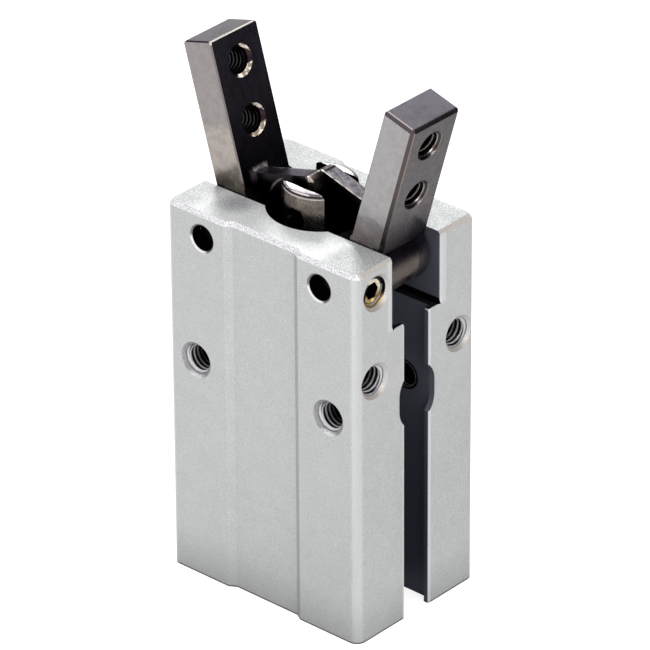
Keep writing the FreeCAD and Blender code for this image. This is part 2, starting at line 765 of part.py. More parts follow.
def make_cap():
    rim = cap_bore_radius - size.cap_clearance
    spigot = size.cap_spigot_diameter / 2
    pocket_radius = size.cap_pocket_diameter / 2
    groove_high = size.cap_groove_height + size.cap_groove_width
    turned("end_cap", [[
        (0, size.cap_bottom), (rim - size.edge_break, size.cap_bottom), (rim, size.cap_bottom + size.edge_break),
        (rim, size.cap_groove_height), (rim - size.cap_groove_depth, size.cap_groove_height),
        (rim - size.cap_groove_depth, groove_high), (rim, groove_high),
        (rim, size.cap_shoulder), (spigot, size.cap_shoulder), (spigot, size.cap_top),
        (pocket_radius, size.cap_top), (pocket_radius, size.cap_pocket_floor), (0, size.cap_pocket_floor),
    ]])
    ring("lower_bumper", pocket_radius, spigot, size.cap_top, size.cap_top + size.lower_bumper_height,
         bevel=size.edge_break)
    section = size.cap_groove_depth / 2
    cord = doc.addObject("Part::Torus", "cap_o_ring")
    cord.Label = "cap_o_ring"
    cord.setExpression("Radius1", (rim - section).formula)
    cord.setExpression("Radius2", section.formula)
    place(cord, z=size.cap_groove_height + size.cap_groove_width / 2)

    # Retaining ring: an open band with an eye at each end
    body = new_body("retaining_ring")
    outer = cap_bore_radius + size.ring_groove_depth - size.cap_clearance
    inner = outer - size.ring_band
    sketch = new_sketch(body, "ring_outline", "XY_Plane", ring_bottom)
    circle(sketch, 0, 0, outer)
    circle(sketch, 0, 0, inner)
    pad(body, sketch, "ring_band", size.ring_thickness, midplane=False)
    sketch = new_sketch(body, "ring_opening_outline", "XY_Plane")
    rectangle(sketch, -size.ring_opening / 2, size.ring_opening / 2, -outer - 1, 0)
    pocket(body, sketch, "ring_opening")
    eye_x = size.ring_opening / 2 + size.ring_band / 2
    sketch = new_sketch(body, "ring_eye_outline", "XY_Plane", ring_bottom)
    for side in (-1, 1):
        circle(sketch, eye_x * side, size.ring_band / 4 - inner, size.ring_band * 0.75)
    pad(body, sketch, "ring_eyes", size.ring_thickness, midplane=False)
    sketch = new_sketch(body, "ring_eye_hole_outline", "XY_Plane")
    for side in (-1, 1):
        circle(sketch, eye_x * side, size.ring_band / 4 - inner, size.ring_band * 0.36)
    pocket(body, sketch, "ring_eye_holes")


stack = size.upper_disc_height + size.magnet_height + size.lower_disc_height
make_body()
for word, side in (("right", 1), ("left", -1)):
    make_finger(word + "_finger", side)
    make_pivot_pin(word + "_pivot_pin", side)
    make_set_screw(word + "_set_screw", side)
make_rod()
make_drive_pin()
make_piston()
make_guides()
make_cap()
doc.recompute()

# Check every object, then write one file for each piece
os.makedirs("parts", exist_ok=True)
for item in doc.Objects:
    if "Invalid" in item.State or "Error" in item.State:
        raise RuntimeError(f"{item.Name} is not valid: {item.State}")
for item in doc.Objects:
    if item.TypeId not in ("PartDesign::Body", "Part::Torus"):
        continue
    shape = item.Shape
    if shape.isNull() or not shape.isValid() or len(shape.Solids) != 1:
        raise RuntimeError(f"{item.Label} is not one valid solid")
    shape.exportStep(f"parts/{item.Label}.step")
    print(item.Label, round(shape.Volume, 2))
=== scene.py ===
"""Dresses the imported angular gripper: finishes, cut thread turns, soft light, floor and camera.

Metres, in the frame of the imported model: +Z up, the body stands on z = 0, the front looks along -Y.
"""
import math

import bpy
import numpy as np
from mathutils import Matrix, Vector


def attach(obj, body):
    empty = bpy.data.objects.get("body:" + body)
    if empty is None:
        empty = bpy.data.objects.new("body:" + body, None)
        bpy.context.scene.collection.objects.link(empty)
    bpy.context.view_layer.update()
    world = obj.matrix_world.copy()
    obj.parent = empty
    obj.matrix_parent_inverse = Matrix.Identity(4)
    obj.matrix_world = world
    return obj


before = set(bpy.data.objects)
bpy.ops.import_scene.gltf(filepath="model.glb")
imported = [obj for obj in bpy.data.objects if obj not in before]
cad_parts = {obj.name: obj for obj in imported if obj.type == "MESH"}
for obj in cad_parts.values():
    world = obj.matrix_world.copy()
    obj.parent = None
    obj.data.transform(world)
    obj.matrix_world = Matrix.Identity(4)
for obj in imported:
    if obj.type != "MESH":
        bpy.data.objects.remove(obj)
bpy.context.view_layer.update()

MM = 0.001
FINE_BUMP, COARSE_BUMP = 0.02 * MM, 0.03 * MM

# Places and sizes on the gripper, in millimetres, as in the solids; those of the fingers from their pivot
HALF_WIDTH, HALF_DEPTH, HEIGHT = 11.5, 8.2, 38.3
RIB_HEIGHT = 0.45
PIVOT, PIVOT_HOLE = (7.05, 35.75), 1.25
SLOT_HALF, SLOT_FLOOR = 3.25, 31.0
SIDE_MOUTH_HALF, SIDE_ROOM_HALF, SIDE_ROOM_FLOOR, SIDE_LIP = 1.65, 2.4, 6.6, 10.95
POCKET_HEIGHT, POCKET_RISE = 22.86, 0.7
RECESS_RADIUS = 5.0
SCREW, SCREW_FACE = (-5.5, 35.75), 10.9
SIDE_THREAD = (5.76, 26.84)
FRONT_THREAD = (8.03, 22.8)
BOTTOM_THREAD = (9.0, 6.0)
PORT_HEIGHTS = {"lower": 7.4, "upper": 21.3}
DRIVE_PIN_HEIGHT, CLEVIS_HALF_GAP = 38.354, 2.35
FINGER_LEAN = 16.0
BAR_INNER, BAR_OUTER, BAR_HALF_WIDTH, BAR_LENGTH = 1.46, 2.06, 3.1, 17.06
HUB_HALF_WIDTH = 3.15
ARM_REACH, ARM_TOP, ARM_THICKNESS = 8.95, 4.0, 1.6
FINGER_THREADS = {"upper": 14.17, "lower": 8.5}
SIDES = ((1, "right"), (-1, "left"))
M3 = {"radius": 1.5, "pitch": 0.5, "flare": 0.3}
M2_5 = {"radius": 1.25, "pitch": 0.45, "flare": 0.3}


# Node trees
class Tree:
    """Short calls that add and join nodes in one shader tree."""

    def __init__(self, tree):
        self.tree = tree

    def add(self, kind, settings=None, **inputs):
        node = self.tree.nodes.new("ShaderNode" + kind)
        for name, value in (settings or {}).items():
            setattr(node, name, value)
        for name, value in inputs.items():
            self.put(node, name.replace("_", " "), value)
        return node

    def put(self, node, name, value):
        socket = node.inputs[name]
        if isinstance(value, bpy.types.NodeSocket):
            self.tree.links.new(value, socket)
        elif value is not None:
            socket.default_value = value

    def math(self, operation, a, b=None, c=None):
        node = self.add("Math", {"operation": operation})
        for index, value in enumerate((a, b, c)):
            self.put(node, index, value)
        return node.outputs[0]

    def vector(self, operation, a, b=None):
        node = self.add("VectorMath", {"operation": operation})
        for index, value in enumerate((a, b)):
            self.put(node, index, value)
        return node

    def step(self, value, low, high, out_low=0.0, out_high=1.0):
        """A smooth change from out_low to out_high while value goes from low to high."""
        node = self.add("MapRange", {"interpolation_type": "SMOOTHSTEP"})
        for index, item in enumerate((value, low, high, out_low, out_high)):
            self.put(node, index, item)
        return node.outputs[0]

    def inside(self, value, low, high, soft=0.05):
        """1 while value lies between low and high, with soft ends."""
        return self.math("MULTIPLY", self.step(value, low - soft, low + soft),
                         self.step(value, high + soft, high - soft))

    def all(self, *masks):
        """Where all masks are 1; a plain number among them is a strength."""
        result = masks[0]
        for mask in masks[1:]:
            result = self.math("MULTIPLY", result, mask)
        return result

    def any(self, *masks):
        """Where one mask or more is 1."""
        result = masks[0]
        for mask in masks[1:]:
            result = self.math("MAXIMUM", result, mask)
        return result

    def weigh(self, a, share_a, b, share_b):
        """The sum of two values, each with its share."""
        return self.math("ADD", self.math("MULTIPLY", a, share_a), self.math("MULTIPLY", b, share_b))

    def far(self, a, b, centre_a=0.0, centre_b=0.0):
        """Distance of the point a, b from a centre in their plane."""
        a = self.math("SUBTRACT", a, centre_a)
        b = self.math("SUBTRACT", b, centre_b)
        return self.math("SQRT", self.math("ADD", self.math("MULTIPLY", a, a), self.math("MULTIPLY", b, b)))

    def millimetres(self, vector):
        return [self.math("MULTIPLY", part, 1 / MM) for part in self.split(vector)]

    def mix(self, factor, a, b):
        """Colour a where factor is 0, colour b where it is 1."""
        node = self.add("Mix", {"data_type": "RGBA"})
        self.put(node, 0, factor)
        self.put(node, 6, a)
        self.put(node, 7, b)
        return node.outputs[2]

    def noise(self, vector, scale, detail, roughness):
        node = self.add("TexNoise", Vector=vector, Scale=scale, Detail=detail, Roughness=roughness)
        return node.outputs[0]

    def place(self, vector, move=(0, 0, 0), turn=(0, 0, 0), scale=(1, 1, 1)):
        return self.add("Mapping", Vector=vector, Location=move, Rotation=turn, Scale=scale).outputs[0]

    def split(self, vector):
        return self.add("SeparateXYZ", Vector=vector).outputs


def rgb(red, green, blue):
    """A linear colour with alpha from 8-bit display values."""
    def linear(value):
        value /= 255
        return value / 12.92 if value <= 0.04045 else ((value + 0.055) / 1.055) ** 2.4
    return (linear(red), linear(green), linear(blue), 1.0)


def new_group(name, inputs, outputs, build):
    """A shared effect: sockets are (name, kind, default); build gets the tree and the inputs by name."""
    kinds = {"value": "NodeSocketFloat", "vector": "NodeSocketVector"}
    group = bpy.data.node_groups.new(name, "ShaderNodeTree")
    for label, kind, default in inputs:
        socket = group.interface.new_socket(name=label, in_out="INPUT", socket_type=kinds[kind])
        if default is not None:
            socket.default_value = default
    for label, kind in outputs:
        group.interface.new_socket(name=label, in_out="OUTPUT", socket_type=kinds[kind])
    start = group.nodes.new("NodeGroupInput")
    end = group.nodes.new("NodeGroupOutput")
    results = build(Tree(group), start.outputs)
    for label, _ in outputs:
        group.links.new(results[label], end.inputs[label])
    return group


def use(tree, group, **inputs):
    """Places a shared effect in a tree with its own values."""
    node = tree.tree.nodes.new("ShaderNodeGroup")
    node.node_tree = group
    for name, value in inputs.items():
        tree.put(node, name, value)
    return node.outputs


def build_blast(t, given):
    """Tiny dents of glass-bead blasting: two noises and rounded cells, and slow changes of tone."""
    fine = t.noise(given["Vector"], given["Scale"], 3.0, 0.6)
    dents = t.add("TexVoronoi", {"feature": "SMOOTH_F1"}, Vector=given["Vector"],
                  Scale=t.math("MULTIPLY", given["Scale"], 0.8)).outputs[0]
    height = t.weigh(fine, 0.65, dents, 0.5)
    cloud = t.noise(given["Vector"], t.math("MULTIPLY", given["Scale"], 0.06), 3.0, 0.55)
    speck = t.step(fine, 0.36, 0.64, -1.0, 1.0)
    return {"Height": height, "Cloud": cloud, "Speck": speck}


def build_grind(t, given):
    """Fine parallel grinding marks: noise squeezed along one direction, with a few deeper scores."""
    stretched = t.vector("MULTIPLY", given["Vector"], given["Stretch"]).outputs[0]
    lines = t.noise(stretched, given["Scale"], 4.0, 0.7)
    scores = t.noise(stretched, t.math("MULTIPLY", given["Scale"], 0.35), 2.0, 0.5)
    deep = t.step(scores, 0.62, 0.72)
    height = t.math("SUBTRACT", lines, t.math("MULTIPLY", deep, 0.35))
    return {"Height": height, "Lines": lines}


def build_slant(t, given):
    """How far a surface turns away from the three main directions: flat faces 0, chamfers 1."""
    parts = t.split(t.vector("ABSOLUTE", given["Normal"]).outputs[0])
    largest = t.math("MAXIMUM", parts[0], t.math("MAXIMUM", parts[1], parts[2]))
    return {"Slant": t.step(largest, 0.995, 0.9)}


def build_stain(t, given):
    """Soft blotches of oil and handling, as a mask."""
    broad = t.noise(given["Vector"], given["Scale"], 4.0, 0.6)
    small = t.noise(given["Vector"], t.math("MULTIPLY", given["Scale"], 4.3), 3.0, 0.6)
    return {"Mask": t.step(t.weigh(broad, 0.7, small, 0.3), given["Low"], given["High"])}


BLAST = new_group("bead_blast", [("Vector", "vector", None), ("Scale", "value", 7000.0)],
                  [("Height", "value"), ("Cloud", "value"), ("Speck", "value")], build_blast)
GRIND = new_group("grinding_marks",
                  [("Vector", "vector", None), ("Stretch", "vector", (1, 1, 1)),
                   ("Scale", "value", 6000.0)],
                  [("Height", "value"), ("Lines", "value")], build_grind)
SLANT = new_group("chamfer_mask", [("Normal", "vector", None)], [("Slant", "value")], build_slant)
STAIN = new_group("oil_stain",
                  [("Vector", "vector", None), ("Scale", "value", 300.0), ("Low", "value", 0.45),
                   ("High", "value", 0.6)], [("Mask", "value")], build_stain)


def new_material(name, colour, metallic, roughness, build):
    """A material whose build function gets the tree, the coordinates and the Principled shader."""
    material = bpy.data.materials.new(name)
    material.use_nodes = True
    tree = Tree(material.node_tree)
    shader = material.node_tree.nodes["Principled BSDF"]
    shader.inputs["Base Color"].default_value = colour
    shader.inputs["Metallic"].default_value = metallic
    shader.inputs["Roughness"].default_value = roughness
    build(tree, tree.add("TexCoord").outputs, shader)
    return material


def bump(tree, shader, height, strength, distance):
    node = tree.add("Bump", Height=height, Strength=strength, Distance=distance)
    tree.put(shader, "Normal", node.outputs[0])


def lean_back(tree, coordinates, side):
    """Finger coordinates: the pivot becomes the origin and the finger stands upright."""
    turn = (0, -side * math.radians(FINGER_LEAN), 0)
    centre = tree.place(coordinates["Object"], move=(-side * PIVOT[0] * MM, 0, -PIVOT[1] * MM))
    return tree.place(centre, turn=turn), tree.place(coordinates["Normal"], turn=turn)


# Finishes
class Spot:
    """Where a shaded point lies on the body, in millimetres, with the masks that its finishes share."""

    def __init__(self, t, at):
        self.x, self.y, self.z = t.millimetres(at["Object"])
        self.wide, self.deep = t.math("ABSOLUTE", self.x), t.math("ABSOLUTE", self.y)
        self.facing = t.split(at["Normal"])
        self.slant = use(t, SLANT, Normal=at["Normal"])["Slant"]
        self.on_top = t.all(t.step(self.facing[2], 0.8, 0.95), t.step(self.z, HEIGHT - 0.3, HEIGHT - 0.1))
        self.grit = t.noise(at["Object"], 11000.0, 3.0, 0.65)


class FingerSpot:
    """The same on a finger that stands upright with its pivot at the origin.

    out grows towards the finger's outer side, inward towards the drive pin, up to the tip, and face
    towards the side with the fine edge breaks. deep is the distance from the finger's middle plane.
    """

    def __init__(self, t, at, side):
        self.local, normal = lean_back(t, at, side)
        across, along, self.up = t.millimetres(self.local)
        self.along = along
        self.out = t.math("MULTIPLY", across, side)
        self.inward = t.math("MULTIPLY", across, -side)
        self.face = t.math("MULTIPLY", along, side)
        self.deep = t.math("ABSOLUTE", along)
        turn = t.split(normal)
        self.outward = t.math("MULTIPLY", turn[0], side)
        self.upward = turn[2]
        self.endways = t.math("ABSOLUTE", turn[1])
        self.slant = use(t, SLANT, Normal=normal)["Slant"]
        self.stain = use(t, STAIN, Vector=self.local, Scale=330.0, Low=0.42, High=0.6)["Mask"]
        self.grit = t.noise(self.local, 9000.0, 3.0, 0.65)
        self.patch = t.noise(self.local, 1500.0, 3.0, 0.6)


def silver_skin(t, spot, blast):
    """Blasted and anodised aluminium: grainy on top, with a painted highlight round the corners,
    painted light higher up the sides, and painted shade at the foot, on the bottom edges and on one
    slope of each middle recess.

    The strip in front of the recess is painted brighter, with a painted reflection of the left finger
    beside it.
    """
    skin = t.mix(t.step(blast["Cloud"], 0.3, 0.7), rgb(194, 196, 195), rgb(199, 201, 200))
    grainy = t.step(spot.grit, 0.36, 0.62)
    skin = t.mix(spot.on_top, skin, t.mix(grainy, rgb(142, 143, 145), rgb(178, 180, 179)))
    # Painted light: the strip in front of the recess is brighter.
    painted_bright = t.all(spot.on_top, t.inside(spot.x, -8.7, 6.9, 0.9), t.step(spot.y, -1.2, -3.0))
    skin = t.mix(painted_bright, skin, t.mix(grainy, rgb(196, 198, 198), rgb(218, 220, 219)))
    # Painted reflection of the left finger, darker on the top beside it.
    painted_finger_reflection = t.all(spot.on_top, t.step(t.far(spot.x, spot.y, -6.0, -4.7), 2.6, 0.5, 0.0, 0.9))
    skin = t.mix(painted_finger_reflection, skin, rgb(134, 134, 140))
    grain = t.math("MULTIPLY_ADD", spot.on_top, 0.16, 0.22)
    skin = t.mix(t.math("MULTIPLY", t.math("ABSOLUTE", blast["Speck"]), grain), skin,
                 t.mix(t.step(blast["Speck"], -0.5, 0.5), rgb(148, 148, 151), rgb(240, 241, 242)))
    # Painted highlight on the rounded upright corners.
    diagonal = t.math("MULTIPLY", spot.facing[0], spot.facing[1])
    corner = t.step(t.math("ABSOLUTE", diagonal), 0.15, 0.42)
    skin = t.mix(t.all(corner, t.step(spot.wide, 8.0, 9.0), 0.4), skin, rgb(228, 229, 229))
    # Painted shade on one slope of each middle recess.
    ramp = t.all(t.step(diagonal, 0.25, 0.4), t.step(spot.wide, 4.7, 4.5))
    skin = t.mix(t.all(ramp, 0.45), skin, rgb(126, 126, 130))
    # Painted light: the sides grow lighter higher up.
    on_side = t.step(t.math("ABSOLUTE", spot.facing[0]), 0.8, 0.95)
    skin = t.mix(t.all(on_side, t.step(spot.z, 8.0, 30.0, 0.0, 0.24)), skin, rgb(226, 227, 226))
    # Painted shade: darker towards the foot, with a dark line of painted shadow along the bottom edges.
    skin = t.mix(t.step(spot.z, 5.5, -1.5, 0.0, 0.46), skin, rgb(132, 130, 135))
    return t.mix(t.all(t.step(spot.z, 0.2, 0.08), 0.9), skin, rgb(44, 42, 46))


def body_edges(t, spot, torn, skin):
    """Top edges torn and bright along front and rear, beige on the sides; a painted highlight along the
    milled slot mouths.
    """
    top = t.all(spot.slant, t.step(spot.z, HEIGHT - 0.44, HEIGHT - 0.38))
    rib_foot = HALF_DEPTH - RIB_HEIGHT
    torn_edge = t.all(top, t.step(spot.deep, rib_foot - 0.53, rib_foot - 0.45))
    sparkle = t.mix(t.step(torn, 0.40, 0.5), rgb(170, 165, 178), rgb(250, 250, 252))
    skin = t.mix(t.all(torn_edge, 0.9), skin, sparkle)
    beige_edge = t.all(top, t.step(spot.wide, HALF_WIDTH - 0.6, HALF_WIDTH - 0.4),
                       t.step(spot.deep, HALF_DEPTH - 0.5, HALF_DEPTH - 0.7))
    beige = t.mix(t.step(spot.grit, 0.36, 0.62), rgb(178, 171, 166), rgb(206, 199, 192))
    skin = t.mix(t.all(beige_edge, 0.85), skin, beige)
    by_finger_slot = t.all(t.inside(spot.deep, SLOT_HALF - 0.05, SLOT_HALF + 0.75, 0.12),
                           t.step(spot.z, SLOT_FLOOR - 0.1, SLOT_FLOOR + 0.1))
    by_side_slot = t.all(t.inside(spot.deep, SIDE_MOUTH_HALF + 0.02, SIDE_MOUTH_HALF + 0.3, 0.06),
                         t.step(spot.z, SLOT_FLOOR + 0.1, SLOT_FLOOR))
    # Painted highlight along the milled slot mouths.
    painted_bright = t.all(t.step(spot.wide, HALF_WIDTH - 0.2, HALF_WIDTH - 0.08),
                   t.any(by_finger_slot, by_side_slot), 0.5)
    return t.mix(painted_bright, skin, rgb(236, 237, 239)), torn_edge


def body_holes(t, spot, pin, skin):
    """Rims of the pivot holes, with a painted highlight on one lower side. Countersinks: dull at the sides
    with painted shade below the side holes, else torn, with a painted highlight low on the front ones.
    """
    rim = t.all(t.inside(pin, PIVOT_HOLE - 0.01, PIVOT_HOLE + 0.19, 0.03),
                t.step(spot.deep, HALF_DEPTH - 0.2, HALF_DEPTH - 0.16))
    # Painted highlight on one lower side of the pivot holes' rims.
    from_pivot = t.math("SUBTRACT", spot.x, t.math("MULTIPLY", t.math("SIGN", spot.x), PIVOT[0]))
    lower = t.weigh(from_pivot, -0.55, t.math("SUBTRACT", spot.z, PIVOT[1]), -0.83)
    painted_glint = t.step(t.math("ADD", lower, t.math("MULTIPLY", spot.grit, 0.5)), 0.95, 1.25)
    skin = t.mix(t.all(rim, 0.9), skin, t.mix(painted_glint, rgb(116, 116, 124), rgb(255, 255, 255)))
    side_hole = t.math("MINIMUM", t.far(spot.deep, spot.z, *SIDE_THREAD), t.far(spot.y, spot.z, *SCREW))
    mouth = M3["radius"] + M3["flare"]
    cone = t.all(spot.slant, t.step(spot.wide, HALF_WIDTH - 0.36, HALF_WIDTH - 0.32),
                 t.step(side_hole, mouth + 0.06, mouth + 0.02))
    # Painted shade: below the side holes the countersinks are browner.
    under = t.any(t.inside(spot.z, SIDE_THREAD[1] - 2.84, SIDE_THREAD[1] - 0.9, 0.5),
                  t.inside(spot.z, SCREW[1] - 2.75, SCREW[1] - 0.9, 0.5))
    dull = t.mix(t.step(spot.grit, 0.35, 0.6), rgb(186, 183, 182), rgb(222, 220, 218))
    dull = t.mix(t.all(under, t.step(spot.grit, 0.3, 0.6, 0.5, 0.9)), dull, rgb(152, 140, 128))
    skin = t.mix(t.all(cone, 0.85), skin, dull)
    front_hole = t.far(spot.wide, spot.z, *FRONT_THREAD)
    low = t.step(spot.z, FRONT_THREAD[1] - 0.9, FRONT_THREAD[1] - 1.3)
    front_cone = t.all(spot.slant, t.step(spot.deep, HALF_DEPTH - 0.6, HALF_DEPTH - 0.5),
                       t.step(front_hole, mouth + 0.5, mouth + 0.4),
                       t.any(low, t.step(front_hole, mouth + 0.04, mouth - 0.08)))
    torn = t.mix(t.step(spot.grit, 0.35, 0.6), rgb(118, 116, 122), rgb(172, 170, 174))
    # Painted highlight low on the front countersinks.
    lit = t.all(t.step(spot.z, FRONT_THREAD[1] - 1.3, FRONT_THREAD[1] - 1.7), t.step(spot.grit, 0.35, 0.5))
    return t.mix(t.all(front_cone, 0.85), skin, t.mix(lit, torn, rgb(244, 243, 246)))


def body_inside(t, spot, pin, blast):
    """Masks and tones inside slots, recess and pin holes, all painted shade: blue grey walls, darker lower
    down in the side slots, black ledges and holes; a painted highlight on the rim of the recess.
    """
    near_slot = t.step(spot.deep, SLOT_HALF + 0.06, SLOT_HALF + 0.01)
    finger_slot = t.all(near_slot, t.step(spot.z, SLOT_FLOOR - 0.06, SLOT_FLOOR - 0.02))
    room = t.all(t.step(spot.deep, SIDE_ROOM_HALF + 0.06, SIDE_ROOM_HALF + 0.01),
                 t.inside(spot.wide, SIDE_ROOM_FLOOR - 0.05, SIDE_LIP + 0.03, 0.02))
    lips = t.step(spot.wide, SIDE_LIP - 0.1, SIDE_LIP)
    mouth = t.all(t.step(spot.deep, SIDE_MOUTH_HALF + 0.07, SIDE_MOUTH_HALF + 0.01), lips)
    from_pocket = t.math("ABSOLUTE", t.math("SUBTRACT", spot.z, POCKET_HEIGHT))
    past_middle = t.math("SUBTRACT", from_pocket, POCKET_RISE)
    round_pocket = t.far(spot.y, t.math("MAXIMUM", past_middle, 0.0))
    pocket = t.all(t.step(round_pocket, SIDE_ROOM_HALF + 0.06, SIDE_ROOM_HALF + 0.01), lips)
    recess = t.all(t.step(t.far(spot.x, spot.y), RECESS_RADIUS + 0.4, RECESS_RADIUS + 0.02),
                   t.step(spot.z, HEIGHT - 0.2, HEIGHT - 0.34))
    pin_hole = t.all(t.step(pin, PIVOT_HOLE + 0.05, PIVOT_HOLE + 0.02),
                     t.step(spot.deep, HALF_DEPTH - 0.01, HALF_DEPTH - 0.16))
    side_slot = t.any(room, mouth, pocket)
    # Painted shadow: the ledges and the pin holes are black.
    ledge = t.all(near_slot, t.inside(spot.z, SLOT_FLOOR - 0.06, SLOT_FLOOR + 0.5, 0.08))
    black = t.any(ledge, pin_hole)
    # Painted shade: the side slots' walls darker lower down.
    lower = t.all(t.step(spot.z, 30.0, 8.0), side_slot)
    shade = t.mix(lower, rgb(103, 106, 117), rgb(78, 81, 93))
    shade = t.mix(t.all(pocket, 0.6), shade, rgb(134, 134, 151))
    shade = t.mix(t.math("MULTIPLY", blast["Cloud"], 0.16), shade, rgb(60, 58, 68))
    shade = t.mix(black, shade, rgb(3, 3, 6))
    # Painted highlight on the rim of the recess.
    lit_rim = t.all(recess, t.step(spot.y, 3.7, 4.0), t.step(spot.x, -2.7, -2.3),
                    t.step(spot.z, HEIGHT - 1.9, HEIGHT - 1.4))
    shade = t.mix(lit_rim, shade, rgb(226, 220, 210))
    return t.any(finger_slot, side_slot, recess, pin_hole), black, shade


def finish_body(t, at, shader):
    """The body: fine blasted grain outside, painted shade in slots and holes, edges with wear and painted
    highlights.
    """
    spot = Spot(t, at)
    blast = use(t, BLAST, Vector=at["Object"], Scale=9000.0)
    torn = t.noise(at["Object"], 8200.0, 3.0, 0.75)
    pin = t.far(spot.wide, spot.z, *PIVOT)
    skin, torn_edge = body_edges(t, spot, torn, silver_skin(t, spot, blast))
    skin = body_holes(t, spot, pin, skin)
    inside, black, shade = body_inside(t, spot, pin, blast)
    t.put(shader, "Base Color", t.mix(inside, skin, shade))
    metal = t.math("MULTIPLY_ADD", inside, 0.1, 0.35)
    t.put(shader, "Metallic", t.math("MULTIPLY", metal, t.step(black, 1.0, 0.0)))
    t.put(shader, "Specular IOR Level", t.step(black, 0.0, 1.0, 0.5, 0.02))
    rough = t.step(blast["Cloud"], 0.3, 0.7, 0.46, 0.52)
    for mask, smoother in ((spot.slant, 0.1), (inside, 0.12), (spot.on_top, 0.03)):
        rough = t.math("SUBTRACT", rough, t.math("MULTIPLY", mask, smoother))
    t.put(shader, "Roughness", rough)
    height = t.math("ADD", blast["Height"], t.math("MULTIPLY", t.math("MULTIPLY", torn, torn_edge), 5.0))
    bump(t, shader, height, 0.36, COARSE_BUMP)


def bar_tone(t, spot, grind, side):
    """Ground faces of the bar: lighter low on the left one, brown at the foot, painted shade low on the
    outer side, and the inner side painted dark as a reflection.
    """
    pale, dull, zone, zone_top = FRONT_TONES[side]
    steel = t.mix(t.step(grind["Lines"], 0.3, 0.7), dull, pale)
    blotch = t.all(t.step(spot.patch, 0.36, 0.7), BLOTCH[side])
    steel = t.mix(blotch, steel, rgb(128, 121, 121))
    height = t.math("ADD", spot.up, t.math("MULTIPLY", t.math("SUBTRACT", spot.stain, 0.5), 0.9))
    zone = t.mix(t.step(spot.grit, 0.3, 0.7), zone, t.mix(t.step(spot.patch, 0.4, 0.6), zone, steel))
    steel = t.mix(t.step(height, zone_top, zone_top - 0.5, 0.0, 0.85), steel, zone)
    steel = t.mix(t.step(height, 5.2, 4.0), steel, FOOT_TONES[side][0])
    steel = t.mix(t.step(height, 4.2, 3.0), steel, FOOT_TONES[side][1])
    outer = t.mix(t.step(spot.grit, 0.3, 0.7), rgb(168, 162, 165), rgb(190, 184, 186))
    outer = t.mix(t.all(t.step(spot.patch, 0.45, 0.6), 0.4), outer, rgb(150, 143, 147))
    # Painted shade: the outer side darker low down.
    outer = t.mix(t.step(height, 8.0, 3.6, 0.0, 0.9), outer, rgb(92, 84, 88))
    steel = t.mix(t.step(spot.outward, 0.5, 0.9), steel, outer)
    top = t.mix(t.step(spot.grit, 0.3, 0.7), *TOP_TONES[side])
    steel = t.mix(t.step(spot.upward, 0.75, 0.95), steel, top)
    # Painted reflection: the inner side dark, darker lower down.
    dark = t.mix(t.step(spot.up, 3.0, 14.0), rgb(40, 36, 44), rgb(121, 113, 130))
    dark = t.mix(t.all(spot.stain, 0.25), dark, rgb(52, 47, 55))
    return t.mix(t.step(spot.outward, -0.85, -0.97), steel, dark)


def bar_edges(t, spot, steel):
    """Broad chamfers: a brown band, darker lower down, beside a thin line of painted highlight; the corner
    at the tip painted dark as shade. Fine edge breaks: a cream line of painted highlight or a dark line.
    """
    on_broad_face = t.step(spot.face, 0.4 - BAR_HALF_WIDTH, 0.32 - BAR_HALF_WIDTH)
    outside = t.step(spot.out, BAR_OUTER - 0.4, BAR_OUTER - 0.32)
    at_tip = t.step(spot.up, BAR_LENGTH - 0.4, BAR_LENGTH - 0.32)
    above_hub = t.step(spot.up, 3.4, 4.0)
    two_of_three = t.any(t.all(on_broad_face, outside), t.all(at_tip, t.any(on_broad_face, outside)))
    broad = t.all(spot.slant, above_hub, two_of_three)
    band = t.mix(t.step(spot.up, 2.5, 12.0), rgb(34, 28, 34), rgb(116, 106, 104))
    band = t.mix(at_tip, band, rgb(130, 116, 127))
    band = t.mix(t.math("MULTIPLY", spot.grit, 0.35), band, rgb(60, 54, 54))
    steel = t.mix(broad, steel, band)
    # Painted shade: the corner at the tip is dark.
    corner = t.all(at_tip, on_broad_face, outside)
    steel = t.mix(corner, steel, rgb(58, 48, 58))
    # Thin lines of painted highlight along the edges.
    tip_line = t.all(broad, t.step(spot.up, BAR_LENGTH - 0.11, BAR_LENGTH - 0.06),
                     t.step(spot.out, 1.6, 1.8, 0.7, 0.2), t.math("SUBTRACT", 1.0, corner))
    side_line = t.all(broad, t.step(spot.out, BAR_OUTER - 0.11, BAR_OUTER - 0.06),
                      t.step(spot.up, 3.0, 12.0, 0.06, 0.32),
                      t.step(spot.up, BAR_LENGTH - 0.32, BAR_LENGTH - 0.36))
    fine = t.all(spot.slant, above_hub, t.step(spot.inward, BAR_INNER + 0.04, BAR_INNER),
                 t.math("SUBTRACT", 1.0, broad))
    inner_tip = t.all(at_tip, t.step(spot.inward, BAR_INNER - 0.26, BAR_INNER - 0.16),
                      t.step(spot.grit, 0.25, 0.5, 0.5, 1.0))
    upright = t.all(t.step(spot.face, BAR_HALF_WIDTH - 0.2, BAR_HALF_WIDTH - 0.14),
                    t.step(spot.up, BAR_LENGTH - 0.16, BAR_LENGTH - 0.26), 0.3)
    fine_line = t.all(fine, t.any(inner_tip, upright))
    steel = t.mix(fine, steel, rgb(78, 66, 76))
    line = t.any(tip_line, side_line, fine_line)
    return t.mix(line, steel, rgb(216, 208, 200)), line


